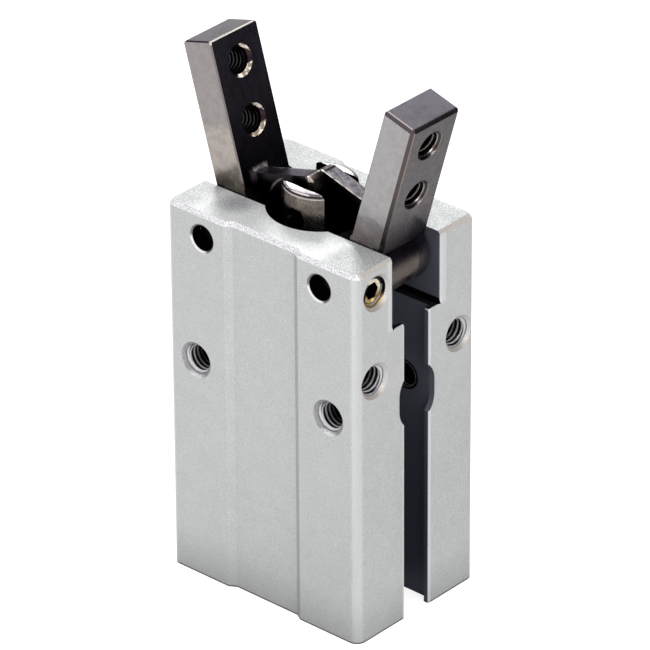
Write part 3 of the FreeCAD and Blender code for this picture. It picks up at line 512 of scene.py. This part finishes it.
def bar_countersinks(t, spot, steel):
    """Inner side: facets with painted highlights below and at one upper corner, painted shade elsewhere.
    Outer side: dull with two thin rings of painted highlight.
    """
    upper, lower = (t.math("SUBTRACT", spot.up, FINGER_THREADS[word]) for word in ("upper", "lower"))
    nearer = t.step(spot.up, 11.2, 11.4)
    rise = t.add("Mix", {"data_type": "FLOAT"}, Factor=nearer, A=lower, B=upper).outputs[0]
    radius = t.far(spot.along, rise)
    mouth = M2_5["radius"] + M2_5["flare"]
    ring = t.all(spot.slant, t.step(radius, mouth + 0.09, mouth + 0.05))
    low = t.weigh(spot.face, -0.35, rise, -0.94)
    high = t.weigh(spot.face, -0.65, rise, 0.76)
    # Painted highlights on the inner countersinks' facets, with painted shade between them.
    lit = t.any(t.step(low, 0.95, 1.08), t.step(high, 1.24, 1.32))
    facet = t.step(t.noise(spot.local, 1900.0, 1.0, 0.5), 0.42, 0.54)
    # The bright facet tones are a painted sheen.
    polished = t.mix(facet, rgb(150, 132, 112), rgb(255, 246, 232))
    inner = t.mix(lit, rgb(66, 52, 56), polished)
    # Two thin rings of painted highlight on the outer countersinks.
    rings = t.any(t.step(radius, mouth - 0.05, mouth - 0.02), t.step(radius, mouth - 0.22, mouth - 0.25))
    outer = t.mix(rings, rgb(86, 78, 79), rgb(196, 186, 180))
    inner_side = t.step(spot.out, 0.2, -0.2)
    return t.mix(ring, steel, t.mix(inner_side, outer, inner)), t.all(ring, inner_side, lit)


def hub_tone(t, spot, side, steel):
    """The hub: a speckled brown patch, a darker zone beside it, and painted shadow: black rims, black where
    it lies in the slot, and a dark foot of the bar.

    The edge of the hub where it runs across the bar's front face is as dull as the steel around it.
    """
    turned = t.step(spot.endways, 0.9, 0.7)
    hub = t.all(t.step(spot.up, 3.3, 2.6), t.step(spot.out, -0.3, 0.3), turned)
    brown = t.mix(t.step(spot.grit, 0.35, 0.65), rgb(134, 123, 118), rgb(188, 175, 165))
    brown = t.mix(t.step(spot.face, 1.5, 1.62), brown, rgb(120, 112, 114))
    brown = t.mix(t.step(spot.up, 1.0, 2.1), brown, rgb(98, 91, 101))
    steel = t.mix(hub, steel, brown)
    # Painted shadow where the bar meets the hub.
    foot = t.all(t.step(spot.up, 4.6, 2.9), t.step(spot.up, 1.6, 2.4), t.step(spot.out, 1.2, 1.9),
                 turned, 0.75)
    steel = t.mix(foot, steel, rgb(44, 38, 44))
    # Painted shadow in the gap round the hub.
    rim = t.all(t.step(spot.up, 2.9, 2.5), t.step(spot.deep, HUB_HALF_WIDTH - 0.27, HUB_HALF_WIDTH - 0.23),
                turned)
    steel = t.mix(rim, steel, rgb(6, 5, 8))
    # Painted shadow where the hub lies in the slot.
    hidden = t.all(t.step(spot.up, 3.4, 3.2), t.step(spot.inward, -0.3, 0.3), t.step(spot.inward, 4.4, 4.2),
                   turned)
    steel = t.mix(hidden, steel, rgb(8, 7, 10))
    across_bar = t.all(spot.slant, t.step(spot.deep, HUB_HALF_WIDTH - 0.35, HUB_HALF_WIDTH - 0.3),
                       t.step(spot.up, 3.6, 3.2), t.inside(spot.out, -1.44, 1.5))
    return t.mix(across_bar, steel, HUB_EDGE_TONES[side]), across_bar


def arm_tone(t, spot, side, steel):
    """The arm: light top with a thin painted highlight on its inner edge, sides painted black as a dark
    reflection, painted shade on its end, a painted highlight at its root and a brown nose with painted
    light and shade and a painted glint.

    On its side, near where the other arm passes, a faint arc is a painted reflection.
    """
    arm = t.step(spot.inward, BAR_INNER, BAR_INNER + 0.04)
    flat = t.step(spot.upward, 0.85, 0.95)
    level = t.all(arm, flat, t.step(spot.up, ARM_TOP - 0.5, ARM_TOP - 0.2))
    mottle = t.weigh(spot.patch, 0.55, spot.grit, 0.45)
    # Painted reflection: the arm's sides are dark, darker lower down.
    steel = t.mix(t.all(arm, t.step(flat, 0.5, 0.1), t.step(spot.outward, -0.95, -0.9)), steel,
                  t.mix(t.step(spot.up, 3.0, 3.9), rgb(10, 8, 14), rgb(60, 54, 60)))
    steel = t.mix(level, steel, t.mix(t.step(mottle, 0.42, 0.6), *ARM_TONES[side]))
    # Painted shade on the end of the arm.
    end = t.step(spot.inward, ARM_REACH - 1.15, ARM_REACH - 0.85)
    steel = t.mix(t.all(arm, end, t.step(spot.upward, 0.35, 0.5)), steel, rgb(40, 36, 40))
    # A thin line of painted highlight along the inner edge of the arm's top.
    line = t.all(level, t.step(spot.deep, 0.26, 0.16), t.step(spot.patch, 0.35, 0.55, 0.3, 1.0))
    # Painted highlight on the fillet at the arm's root.
    root = t.all(t.inside(spot.inward, BAR_INNER + 0.04, BAR_INNER + 0.66, 0.03),
                 t.step(spot.up, ARM_TOP - 0.02, ARM_TOP + 0.04),
                 t.step(spot.deep, ARM_THICKNESS + 0.1, ARM_THICKNESS + 0.04))
    steel = t.mix(root, steel, t.mix(t.step(mottle, 0.44, 0.6), rgb(130, 122, 124), rgb(226, 216, 212)))
    # Painted light and shade on the nose.
    nose = t.all(t.step(spot.inward, ARM_REACH - 0.95, ARM_REACH - 0.65), t.step(spot.up, 2.4, 2.7),
                 t.step(flat, 0.9, 0.5))
    steel = t.mix(nose, steel, t.mix(t.step(spot.deep, 0.4, 1.5), rgb(60, 52, 52), rgb(150, 134, 128)))
    # Painted glint on the nose.
    glint = t.all(t.step(spot.inward, ARM_REACH - 0.65, ARM_REACH - 0.55), t.step(spot.up, 3.38, 3.48),
                  t.step(spot.deep, ARM_THICKNESS - 0.12, ARM_THICKNESS - 0.04))
    # Painted reflection: a faint arc on the arm's side.
    arc = t.all(t.inside(t.far(spot.inward, spot.up, 5.95, 0.4), 3.2, 3.4, 0.07),
                t.step(spot.inward, 5.4, 4.7), t.step(spot.up, 1.9, 2.9),
                t.step(spot.deep, ARM_THICKNESS, ARM_THICKNESS + 0.03),
                t.step(spot.grit, 0.3, 0.6, 0.08, 0.4))
    bright = t.any(t.all(line, ARM_LINE[side]), t.all(glint, 0.8), arc)
    return t.mix(bright, steel, rgb(222, 214, 206)), bright


def finish_finger(side):
    """Ground hardened steel; its thin lines and spots of painted highlight, its painted reflection and the
    dull hub edges are less like a mirror than the faces beside them.
    """
    def build(t, at, shader):
        spot = FingerSpot(t, at, side)
        grind = use(t, GRIND, Vector=spot.local, Stretch=(1.0, 1.0, 0.06), Scale=9000.0)
        steel, line = bar_edges(t, spot, bar_tone(t, spot, grind, side))
        steel, facet = bar_countersinks(t, spot, steel)
        steel, dull = hub_tone(t, spot, side, steel)
        steel, wear_and_highlight = arm_tone(t, spot, side, steel)
        t.put(shader, "Base Color", steel)
        t.put(shader, "Metallic", t.step(t.any(line, facet, dull, wear_and_highlight), 0.0, 1.0, 1.0, 0.2))
        rough = t.step(grind["Lines"], 0.2, 0.8, 0.22, 0.28)
        t.put(shader, "Roughness", t.math("ADD", rough, t.all(spot.stain, 0.08)))
        bump(t, shader, grind["Height"], 0.06, FINE_BUMP)
    return build


def finish_turned(light, dark):
    """Turned metal: marks that run round Z, seen as rings stacked in height, with stains."""
    def build(t, at, shader):
        grind = use(t, GRIND, Vector=at["Object"], Stretch=(0.05, 0.05, 1.0), Scale=5000.0)
        stain = use(t, STAIN, Vector=at["Object"], Scale=420.0, Low=0.45, High=0.65)["Mask"]
        colour = t.mix(t.step(grind["Lines"], 0.0, 1.0), dark, light)
        t.put(shader, "Base Color", t.mix(t.all(stain, 0.35), colour, dark))
        rough = t.step(grind["Lines"], 0.2, 0.8, 0.16, 0.3)
        t.put(shader, "Roughness", t.math("ADD", rough, t.all(stain, 0.12)))
        bump(t, shader, grind["Height"], 0.15, FINE_BUMP)
    return build


def finish_rod(t, at, shader):
    """Polished rod: a dome of bright streaks, a painted sheen, darker on its far side; below it a band of
    painted shade and lower a painted highlight; a stained clevis with painted shade towards -x and in its
    gap, and painted shadow lower down and in its pin hole, where it goes black.
    """
    x, y, z = t.millimetres(at["Object"])
    grit = t.noise(at["Object"], 7000.0, 4.0, 0.7)
    patch = t.noise(at["Object"], 1300.0, 3.0, 0.6)
    upward = t.split(at["Normal"])[2]
    steel = t.mix(t.step(grit, 0.32, 0.66), rgb(108, 99, 92), rgb(152, 142, 133))
    steel = t.mix(t.all(t.step(patch, 0.42, 0.6), 0.6), steel, rgb(98, 88, 86))
    # Painted shade: darker towards -x.
    steel = t.mix(t.step(x, -0.6, -2.6, 0.0, 0.6), steel, rgb(52, 47, 48))
    # Painted shadow: black lower down on the clevis and in its pin hole.
    above_pin = t.math("SUBTRACT", z, DRIVE_PIN_HEIGHT)
    ragged = t.math("ADD", above_pin, t.math("MULTIPLY", t.math("SUBTRACT", patch, 0.5), 1.2))
    painted_shade = t.any(t.step(ragged, -1.6, -2.0), t.all(t.step(ragged, 1.15, 0.85), t.step(x, 0.95, 0.6)))
    steel = t.mix(t.all(painted_shade, t.step(y, 1.0, 0.0)), steel, rgb(4, 3, 5))
    # Painted highlight low on the rounded edge, and above it a band of painted shade.
    steel = t.mix(t.inside(upward, 0.1, 0.36, 0.06), steel, rgb(206, 198, 192))
    steel = t.mix(t.inside(upward, 0.55, 0.7, 0.04), steel, rgb(26, 20, 20))
    # Painted sheen: bright streaks on the dome, darker towards its far side.
    streaks = t.noise(t.place(at["Object"], scale=(0.35, 1.6, 1.0)), 1500.0, 3.0, 0.6)
    polished = t.mix(t.step(streaks, 0.4, 0.52), rgb(118, 110, 118), rgb(232, 228, 226))
    polished = t.mix(t.step(y, 2.2, 2.5, 0.0, 0.75), polished, rgb(120, 117, 108))
    dome = t.all(t.step(upward, 0.72, 0.78), t.step(above_pin, 1.3, 1.6))
    steel = t.mix(dome, steel, polished)
    # Painted shade in the gap of the clevis.
    in_gap = t.step(t.math("ABSOLUTE", y), CLEVIS_HALF_GAP + 0.05, CLEVIS_HALF_GAP + 0.01)
    steel = t.mix(in_gap, steel, rgb(34, 30, 33))
    t.put(shader, "Base Color", steel)
    t.put(shader, "Metallic", t.step(dome, 0.0, 1.0, 1.0, 0.6))
    t.put(shader, "Roughness", t.step(grit, 0.3, 0.7, 0.2, 0.34))
    bump(t, shader, grit, 0.12, FINE_BUMP)


def finish_screw(t, at, shader):
    """Pale brass: crescents of painted light and a painted glint on the rim, a silvery bevel, a black
    socket and a black crescent beside it, both painted shadow.
    """
    x, y, z = t.millimetres(at["Object"])
    across, rise = t.math("SUBTRACT", y, SCREW[0]), t.math("SUBTRACT", z, SCREW[1])
    radius = t.far(across, rise)
    grit = t.noise(at["Object"], 5000.0, 3.0, 0.6)
    # Painted light: the brass grows lighter along one direction across the rim.
    along = t.weigh(across, 0.35, rise, 0.94)
    brass = t.mix(t.step(along, -0.2, 0.5), rgb(176, 150, 98), rgb(252, 243, 214))
    seam = t.inside(along, -0.62, -0.34, 0.1)
    brass = t.mix(t.all(seam, 0.8), brass, rgb(104, 74, 38))
    brass = t.mix(t.all(t.step(grit, 0.42, 0.6), 0.35), brass, rgb(150, 122, 76))
    # Painted glint on the rim.
    glint = t.step(t.far(across, rise, 0.1, -0.95), 0.22, 0.12)
    brass = t.mix(glint, brass, rgb(255, 236, 150))
    brass = t.mix(t.step(radius, 1.12, 1.17), brass, rgb(30, 22, 20))
    ring = t.mix(t.step(along, -0.55, -0.85), rgb(232, 229, 236), rgb(206, 176, 120))
    brass = t.mix(t.step(radius, 1.2, 1.25), brass, ring)
    # Painted shadow: a black crescent on the bevel on one side.
    oil = t.weigh(rise, 0.3, across, -0.95)
    painted_shade = t.all(t.step(oil, 0.62, 0.72), t.step(radius, 1.25, 1.2))
    # Painted shade: the socket is black.
    socket = t.all(t.step(t.math("ABSOLUTE", x), SCREW_FACE - 0.01, SCREW_FACE - 0.04),
                   t.step(radius, 1.15, 1.1))
    t.put(shader, "Base Color", t.mix(t.any(socket, painted_shade), brass, rgb(4, 3, 4)))
    t.put(shader, "Roughness", t.step(grit, 0.3, 0.7, 0.2, 0.32))
    bump(t, shader, grit, 0.08, FINE_BUMP)


def finish_moulded(light, dark, low, high):
    """Moulded rubber, plastic or sintered stock: matt, finely pitted, slightly uneven in tone."""
    def build(t, at, shader):
        blast = use(t, BLAST, Vector=at["Object"], Scale=5200.0)
        t.put(shader, "Base Color", t.mix(t.step(blast["Cloud"], 0.35, 0.65), dark, light))
        t.put(shader, "Roughness", t.step(blast["Speck"], -1.0, 1.0, low, high))
        bump(t, shader, blast["Height"], 0.25, COARSE_BUMP)
    return build


def finish_thread(bright, middle, black, reach, cone=None, foot=None):
    """Cut thread turns: crests painted bright and flanks dull as painted light and shade, painted shade
    in the roots, and black further in than reach.

    cone holds the outer and the inner tone of a freshly cut, silvery mouth; foot is a golden colour given
    to the lower part of the set screws' threads.
    """
    def build(t, at, shader):
        crest = t.add("Attribute", {"attribute_name": "crest"}).outputs["Fac"]
        depth = t.add("Attribute", {"attribute_name": "depth"}).outputs["Fac"]
        marks = t.noise(at["Object"], 6000.0, 3.0, 0.6)
        # Painted highlight on the crests.
        shine = t.step(crest, 0.78, 0.96)
        metal = t.mix(t.math("MULTIPLY", shine, t.step(marks, 0.2, 0.6, 0.6, 1.0)), middle, bright)
        if foot:
            height = t.millimetres(at["Object"])[2]
            metal = t.mix(t.step(height, SCREW[1] - 0.5, SCREW[1] - 1.1), metal, foot)
        # Painted shade: the roots and the deeper turns go black.
        root = t.all(t.step(depth, 0.1, 0.4), t.step(crest, 0.62, 0.3, 0.0, 0.95))
        deep = t.any(t.step(depth, 0.1, reach, 0.0, 0.995), root)
        colour = t.mix(deep, metal, black)
        if cone:
            mouth = t.step(depth, 0.28, 0.22)
            wear_and_highlight = t.math("ADD", depth, t.math("MULTIPLY", t.math("SUBTRACT", marks, 0.5), 0.12))
            colour = t.mix(mouth, colour, t.mix(t.step(wear_and_highlight, 0.06, 0.18), *cone))
            shine = t.any(shine, mouth)
        t.put(shader, "Base Color", colour)
        t.put(shader, "Metallic", t.step(shine, 0.0, 1.0, 1.0, 0.35))
        t.put(shader, "Roughness", t.step(crest, 0.0, 1.0, 0.5, 0.28))
        bump(t, shader, marks, 0.1, FINE_BUMP)
    return build


# What differs between the left finger (-1) and the right one (1). Both are the same steel, so their
# tones differ mostly as painted light and shade: each finger catches the light in its own way. First the
# front of the bar: pale and dull steel, the tone of the zone low on it and how high that reaches
FRONT_TONES = {-1: (rgb(156, 150, 149), rgb(147, 141, 141), rgb(173, 164, 156), 9.0),
               1: (rgb(167, 165, 165), rgb(158, 156, 156), rgb(130, 122, 124), 5.9)}
# Foot of the bar, then still lower down, and the edge of the hub across it
FOOT_TONES = {-1: (rgb(132, 124, 115), rgb(94, 86, 80)), 1: (rgb(142, 134, 133), rgb(124, 116, 115))}
HUB_EDGE_TONES = {-1: rgb(62, 57, 52), 1: rgb(84, 78, 76)}
# End face of the bar, and how strong the blotches on its front are
TOP_TONES = {-1: (rgb(138, 133, 139), rgb(148, 143, 149)), 1: (rgb(152, 146, 156), rgb(172, 166, 176))}
BLOTCH = {-1: 0.4, 1: 0.24}
# Top of the arm, and how strong the painted highlight line on its inner edge is
ARM_TONES = {-1: (rgb(96, 90, 106), rgb(136, 128, 142)), 1: (rgb(132, 128, 140), rgb(214, 208, 214))}
ARM_LINE = {-1: 0.3, 1: 1.0}

BODY = new_material("body_aluminium_blasted", rgb(198, 200, 198), 0.35, 0.5, finish_body)
FINGERS = {side: new_material(word + "_finger_ground_steel", rgb(160, 157, 155), 1.0, 0.3,
                              finish_finger(side))
           for side, word in SIDES}
ROD = new_material("rod_polished_steel", rgb(170, 162, 154), 1.0, 0.22, finish_rod)
PIN = new_material("pin_dark_steel", rgb(16, 15, 18), 1.0, 0.35,
                   finish_turned(rgb(20, 18, 21), rgb(9, 8, 11)))
BRASS = new_material("screw_brass", rgb(200, 170, 105), 0.3, 0.25, finish_screw)
BRONZE = new_material("bush_bronze", rgb(160, 118, 72), 1.0, 0.35,
                      finish_turned(rgb(178, 134, 84), rgb(122, 88, 52)))
ALUMINIUM = new_material("turned_aluminium", rgb(190, 192, 194), 1.0, 0.3,
                         finish_turned(rgb(205, 206, 208), rgb(160, 162, 166)))
SPRING_STEEL = new_material("spring_steel_black", rgb(52, 51, 54), 1.0, 0.4,
                            finish_turned(rgb(66, 65, 68), rgb(34, 34, 37)))
NUT_STEEL = new_material("nut_zinc_steel", rgb(170, 170, 165), 1.0, 0.32,
                         finish_turned(rgb(186, 186, 178), rgb(138, 138, 134)))
RUBBER = new_material("seal_black_rubber", rgb(30, 30, 31), 0.0, 0.6,
                      finish_moulded(rgb(36, 36, 37), rgb(22, 22, 23), 0.5, 0.72))
BUMPER = new_material("bumper_amber_urethane", rgb(150, 116, 62), 0.0, 0.45,
                      finish_moulded(rgb(160, 124, 66), rgb(132, 98, 50), 0.36, 0.54))
FERRITE = new_material("magnet_ferrite", rgb(62, 62, 64), 0.0, 0.55,
                       finish_moulded(rgb(72, 72, 74), rgb(48, 48, 50), 0.46, 0.66))
WEAR = new_material("wear_ring_plastic", rgb(222, 218, 204), 0.0, 0.5,
                    finish_moulded(rgb(228, 224, 210), rgb(208, 202, 186), 0.42, 0.58))
ALUMINIUM_THREAD = new_material("aluminium_cut_thread", rgb(150, 150, 150), 1.0, 0.35,
                                finish_thread(rgb(252, 251, 253), rgb(88, 84, 92), rgb(6, 5, 10), 2.0,
                                              (rgb(128, 126, 131), rgb(228, 227, 230))))
STEEL_THREAD = new_material("steel_cut_thread", rgb(120, 118, 116), 1.0, 0.3,
                            finish_thread(rgb(196, 188, 180), rgb(26, 22, 24), rgb(3, 2, 4), 0.65))
# Dark thread beside the set screws, its darkness painted shade.
SHADED_THREAD = new_material("painted_shade_cut_thread", rgb(50, 44, 46), 1.0, 0.35,
                           finish_thread(rgb(66, 52, 56), rgb(20, 14, 18), rgb(3, 2, 4), 0.6,
                                         foot=rgb(196, 166, 116)))

NODE_FINISH = {
    "body": BODY, "left_finger": FINGERS[-1], "right_finger": FINGERS[1], "piston_rod": ROD,
    "drive_pin": PIN, "left_pivot_pin": PIN, "right_pivot_pin": PIN, "left_set_screw": BRASS,
    "right_set_screw": BRASS,
    "rod_bush": BRONZE, "rod_seal": RUBBER, "piston_seal": RUBBER, "cap_o_ring": RUBBER,
    "upper_bumper": BUMPER, "lower_bumper": BUMPER, "piston_upper_disc": ALUMINIUM,
    "piston_lower_disc": ALUMINIUM, "end_cap": ALUMINIUM, "piston_magnet": FERRITE,
    "piston_wear_ring": WEAR, "piston_nut": NUT_STEEL, "retaining_ring": SPRING_STEEL,
}
for node, material in NODE_FINISH.items():
    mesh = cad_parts[node].data
    mesh.materials.clear()
    mesh.materials.append(material)


# Thread turns
# Height of a crest in pitches; then, in millimetres, how far the root stays inside the bore and the wall
# outside it, and what is added to a depth that counts from a far lip
CREST_HEIGHT, ROOT_GAP, WALL, LIP_DEPTH = 0.5413, 0.004, 0.02, 1.3


def thread_turns(name, mouth, inward, end, size, body, material, far_flare=False, far_lip=False):
    """The cut surface of an internal thread, closed by a thin wall that lies in the metal.

    Angle a runs round the bore and the rows along it. The depth of a vertex is start + pitch * (turns up to
    its row + a / 360 degrees), kept between start and end, so the rows climb like a right-hand screw. Its
    radius follows the trapezium of the thread: crest, flank, root, flank. A 45 degree cone at the mouth
    cuts the first turns away, at the far end as well with far_flare; with far_lip a flat ring at the far
    end reaches in to the crests. The attribute crest is 0 at the root and 1 at the crest. The attribute
    depth counts from the start, and with far_lip from the far end as well, there with LIP_DEPTH added.
    """
    outer, pitch, start = size["radius"], size["pitch"], size["flare"]
    minor = outer - CREST_HEIGHT * pitch
    root = outer - ROOT_GAP
    fractions = np.array([0.0, 0.125, 0.25, 0.406, 0.5625, 0.625, 0.6875, 0.844])
    shape = np.interp(fractions, [0.0, 0.25, 0.5625, 0.6875, 1.0], [minor, minor, root, root, minor])
    columns = 40
    turns = int(math.ceil((end - start) / pitch)) + 2
    rows = (np.arange(turns)[:, None] + fractions[None, :]).ravel() - 1.0
    angle = np.arange(columns) / columns
    depth = start + pitch * (rows[:, None] + angle[None, :])
    radius = np.tile(shape, turns)[:, None] + 0 * depth
    cone = outer + start - depth
    if far_flare:
        cone = np.maximum(cone, depth - (end - outer))
    outside = (depth < start) | (depth > end)
    radius = np.where(outside, root, np.clip(np.maximum(radius, cone), minor, root))
    if far_lip:
        radius = np.where(depth > end, minor, radius)
    depth = np.clip(depth, start, end)
    wall = np.full((1, columns), outer + WALL)
    radius = np.vstack([radius, wall, wall])
    depth = np.vstack([depth, np.full((1, columns), end), np.full((1, columns), start)])

    axis = Vector(inward).normalized()
    first = axis.orthogonal().normalized()
    second = axis.cross(first)
    a = angle[None, :] * 2 * math.pi
    points = (np.array(mouth)[None, None, :] + depth[..., None] * np.array(axis)
              + (radius * np.cos(a))[..., None] * np.array(first)
              + (radius * np.sin(a))[..., None] * np.array(second)) * MM
    count = len(points)
    j, i = np.meshgrid(np.arange(count), np.arange(columns), indexing="ij")
    after, beside = (j + 1) % count, (i + 1) % columns
    faces = np.stack([j * columns + i, after * columns + i,
                      after * columns + beside, j * columns + beside], -1)
    mesh = bpy.data.meshes.new(name)
    mesh.from_pydata(points.reshape(-1, 3).tolist(), [], faces.reshape(-1, 4).tolist())
    crest = np.clip((root - radius) / (root - minor), 0, 1)
    inside = depth - start
    if far_lip:
        inside = np.minimum(inside, end - depth + LIP_DEPTH)
    for label, values in (("crest", crest), ("depth", inside)):
        attribute = mesh.attributes.new(label, "FLOAT", "POINT")
        attribute.data.foreach_set("value", values.astype(np.float32).ravel())
    mesh.polygons.foreach_set("use_smooth", np.ones(len(mesh.polygons), bool))
    mesh.set_sharp_from_angle(angle=math.radians(35))
    mesh.validate()
    piece = bpy.data.objects.new(name, mesh)
    bpy.context.scene.collection.objects.link(piece)
    mesh.materials.append(material)
    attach(piece, body)


def body_thread(name, mouth, inward, end, material=ALUMINIUM_THREAD, far_lip=False):
    thread_turns(name, mouth, inward, end, M3, "housing", material, far_lip=far_lip)


BLIND_DEPTH, PORT_DEPTH = 5.9, 2.3
for side, word in SIDES:
    for end, place_word in ((-1, "front"), (1, "rear")):
        spot = (FRONT_THREAD[0] * side, HALF_DEPTH * end, FRONT_THREAD[1])
        body_thread(f"{place_word}_{word}_thread", spot, (0, -end, 0), HALF_DEPTH - SIDE_ROOM_HALF,
                    far_lip=True)
    for end, place_word in ((-1, "front"), (1, "rear")):
        spot = (HALF_WIDTH * side, SIDE_THREAD[0] * end, SIDE_THREAD[1])
        body_thread(f"side_{word}_{place_word}_thread", spot, (-side, 0, 0), BLIND_DEPTH)
        spot = (BOTTOM_THREAD[0] * side, BOTTOM_THREAD[1] * end, 0)
        body_thread(f"bottom_{word}_{place_word}_thread", spot, (0, 0, 1), BLIND_DEPTH)
    body_thread(f"set_screw_{word}_thread", (HALF_WIDTH * side, *SCREW), (-side, 0, 0),
                HALF_WIDTH - SCREW_FACE - 0.01, SHADED_THREAD)
for word, height in PORT_HEIGHTS.items():
    body_thread(f"{word}_port_thread", (0, HALF_DEPTH - RIB_HEIGHT, height), (0, -1, 0), PORT_DEPTH)

lean = math.radians(FINGER_LEAN)
far_mouth = BAR_OUTER + BAR_INNER - M2_5["flare"]
for side, word in SIDES:
    along = np.array([math.sin(lean) * side, 0, math.cos(lean)])
    outward = np.array([math.cos(lean) * side, 0, -math.sin(lean)])
    pivot = np.array([PIVOT[0] * side, 0, PIVOT[1]])
    for place_word, up in FINGER_THREADS.items():
        spot = pivot + along * up + outward * BAR_OUTER
        thread_turns(f"{word}_finger_{place_word}_thread", spot.tolist(), (-outward).tolist(), far_mouth,
                     M2_5, word + "_jaw", STEEL_THREAD, far_flare=True)


# Floor, world and light
def build_floor():
    """A plain pale floor that keeps a soft shadow and lifts to white where nothing shades it.

    Gloss sees it pale to the front left of the gripper and dark elsewhere, like a card laid on a table.
    """
    mesh = bpy.data.meshes.new("floor")
    half = 6.0
    corners = [(-half, -half, 0), (half, -half, 0), (half, half, 0), (-half, half, 0)]
    mesh.from_pydata(corners, [], [(0, 1, 2, 3)])
    floor = bpy.data.objects.new("floor", mesh)
    bpy.context.scene.collection.objects.link(floor)
    material = bpy.data.materials.new("floor_white")
    material.use_nodes = True
    nodes = material.node_tree.nodes
    nodes.remove(nodes["Principled BSDF"])
    tree = Tree(material.node_tree)
    ground = tree.split(tree.add("TexCoord").outputs["Object"])
    front = tree.weigh(ground[0], -0.66, ground[1], -0.75)
    card = tree.math("ADD", tree.step(front, -0.05, 0.04, 0.0, 0.55),
                     tree.step(front, -0.25, -0.05, 0.02, 0.2))
    mirrored = tree.add("CombineColor", Red=card, Green=card, Blue=card).outputs[0]
    path = tree.add("LightPath").outputs
    matt = tree.add("BsdfDiffuse", Color=tree.mix(path["Is Glossy Ray"], (0.38, 0.38, 0.38, 1), mirrored))
    glow = tree.add("Emission", Color=(1, 1, 1, 1))
    tree.put(glow, "Strength", tree.math("MULTIPLY", path["Is Camera Ray"], 0.8))
    both = tree.add("AddShader")
    tree.put(both, 0, matt.outputs[0])
    tree.put(both, 1, glow.outputs[0])
    tree.put(nodes["Material Output"], "Surface", both.outputs[0])
    mesh.materials.append(material)


def build_world():
    """White to the camera; a soft grey room, brighter overhead, to matt faces; a dim one to gloss."""
    world = bpy.data.worlds.new("studio")
    bpy.context.scene.world = world
    world.use_nodes = True
    tree = Tree(world.node_tree)
    background = world.node_tree.nodes["Background"]
    way = tree.add("TexCoord").outputs["Generated"]
    height = tree.split(way)[2]
    room = tree.step(height, -0.1, 0.9, 0.76, 1.36)
    behind = tree.vector("DOT_PRODUCT", way, (0.72, 0.69, 0.05)).outputs["Value"]
    mirrored = tree.step(behind, 0.55, 0.9, 0.36, 0.02)
    path = tree.add("LightPath").outputs
    level = tree.math("ADD", tree.math("MULTIPLY", room, tree.math("SUBTRACT", 1.0, path["Is Glossy Ray"])),
                      tree.math("MULTIPLY", mirrored, path["Is Glossy Ray"]))
    grey = tree.add("CombineColor", Red=level, Green=level, Blue=level).outputs[0]
    tree.put(background, "Color", tree.mix(path["Is Camera Ray"], grey, (1, 1, 1, 1)))
    tree.put(background, "Strength", 1.0)


def soft_box(name, place, target, width, height, watts):
    """A rectangular lamp that faces the target."""
    lamp = bpy.data.lights.new(name, "AREA")
    lamp.shape = "RECTANGLE"
    lamp.size, lamp.size_y, lamp.energy = width, height, watts
    item = bpy.data.objects.new(name, lamp)
    bpy.context.scene.collection.objects.link(item)
    aim = (Vector(target) - Vector(place)).to_track_quat("-Z", "Y")
    item.matrix_world = Matrix.Translation(Vector(place)) @ aim.to_matrix().to_4x4()


build_floor()
build_world()
GRIPPER_MIDDLE = (0, 0, 0.028)
soft_box("top_box", (-0.06, -0.06, 0.40), GRIPPER_MIDDLE, 0.26, 0.26, 0.1)
soft_box("back_box", (-0.29, 0.32, 0.30), GRIPPER_MIDDLE, 0.17, 0.13, 0.56)
soft_box("front_box", (-0.16, -0.34, 0.24), GRIPPER_MIDDLE, 0.26, 0.26, 0.08)
soft_box("right_box", (0.36, -0.10, 0.22), GRIPPER_MIDDLE, 0.26, 0.26, 0.76)


# Camera
def make_camera():
    """A long lens at the photograph's place, turned a third of a degree about its own axis.

    It stands further back than the place that its numbers start from, on the same line, with the focal
    length, in pixels of the frame, that goes with it.
    """
    azimuth, elevation, roll = math.radians(41.6132), math.radians(29.385), -0.0065
    first_place, further_back = Vector((93.1824, -104.3999, 104.7319)), 403.80
    frame_width, focal_pixels, sensor_width = 650, 6195.93, 36.0
    back = Vector((math.sin(azimuth) * math.cos(elevation), -math.cos(azimuth) * math.cos(elevation),
                   math.sin(elevation)))
    right = Vector((math.cos(azimuth), math.sin(azimuth), 0))
    up = back.cross(right)
    turned_right = right * math.cos(roll) + up * math.sin(roll)
    turned_up = up * math.cos(roll) - right * math.sin(roll)
    lens = bpy.data.cameras.new("photo_camera")
    lens.sensor_width = sensor_width
    lens.lens = sensor_width * focal_pixels / frame_width
    lens.clip_start, lens.clip_end = 0.01, 20.0
    camera = bpy.data.objects.new("photo_camera", lens)
    bpy.context.scene.collection.objects.link(camera)
    place = first_place * MM + back * further_back * MM
    turn = Matrix((turned_right, turned_up, back)).transposed().to_4x4()
    camera.matrix_world = Matrix.Translation(place) @ turn
    bpy.context.scene.camera = camera


make_camera()
bpy.context.scene.view_settings.view_transform = "Standard"
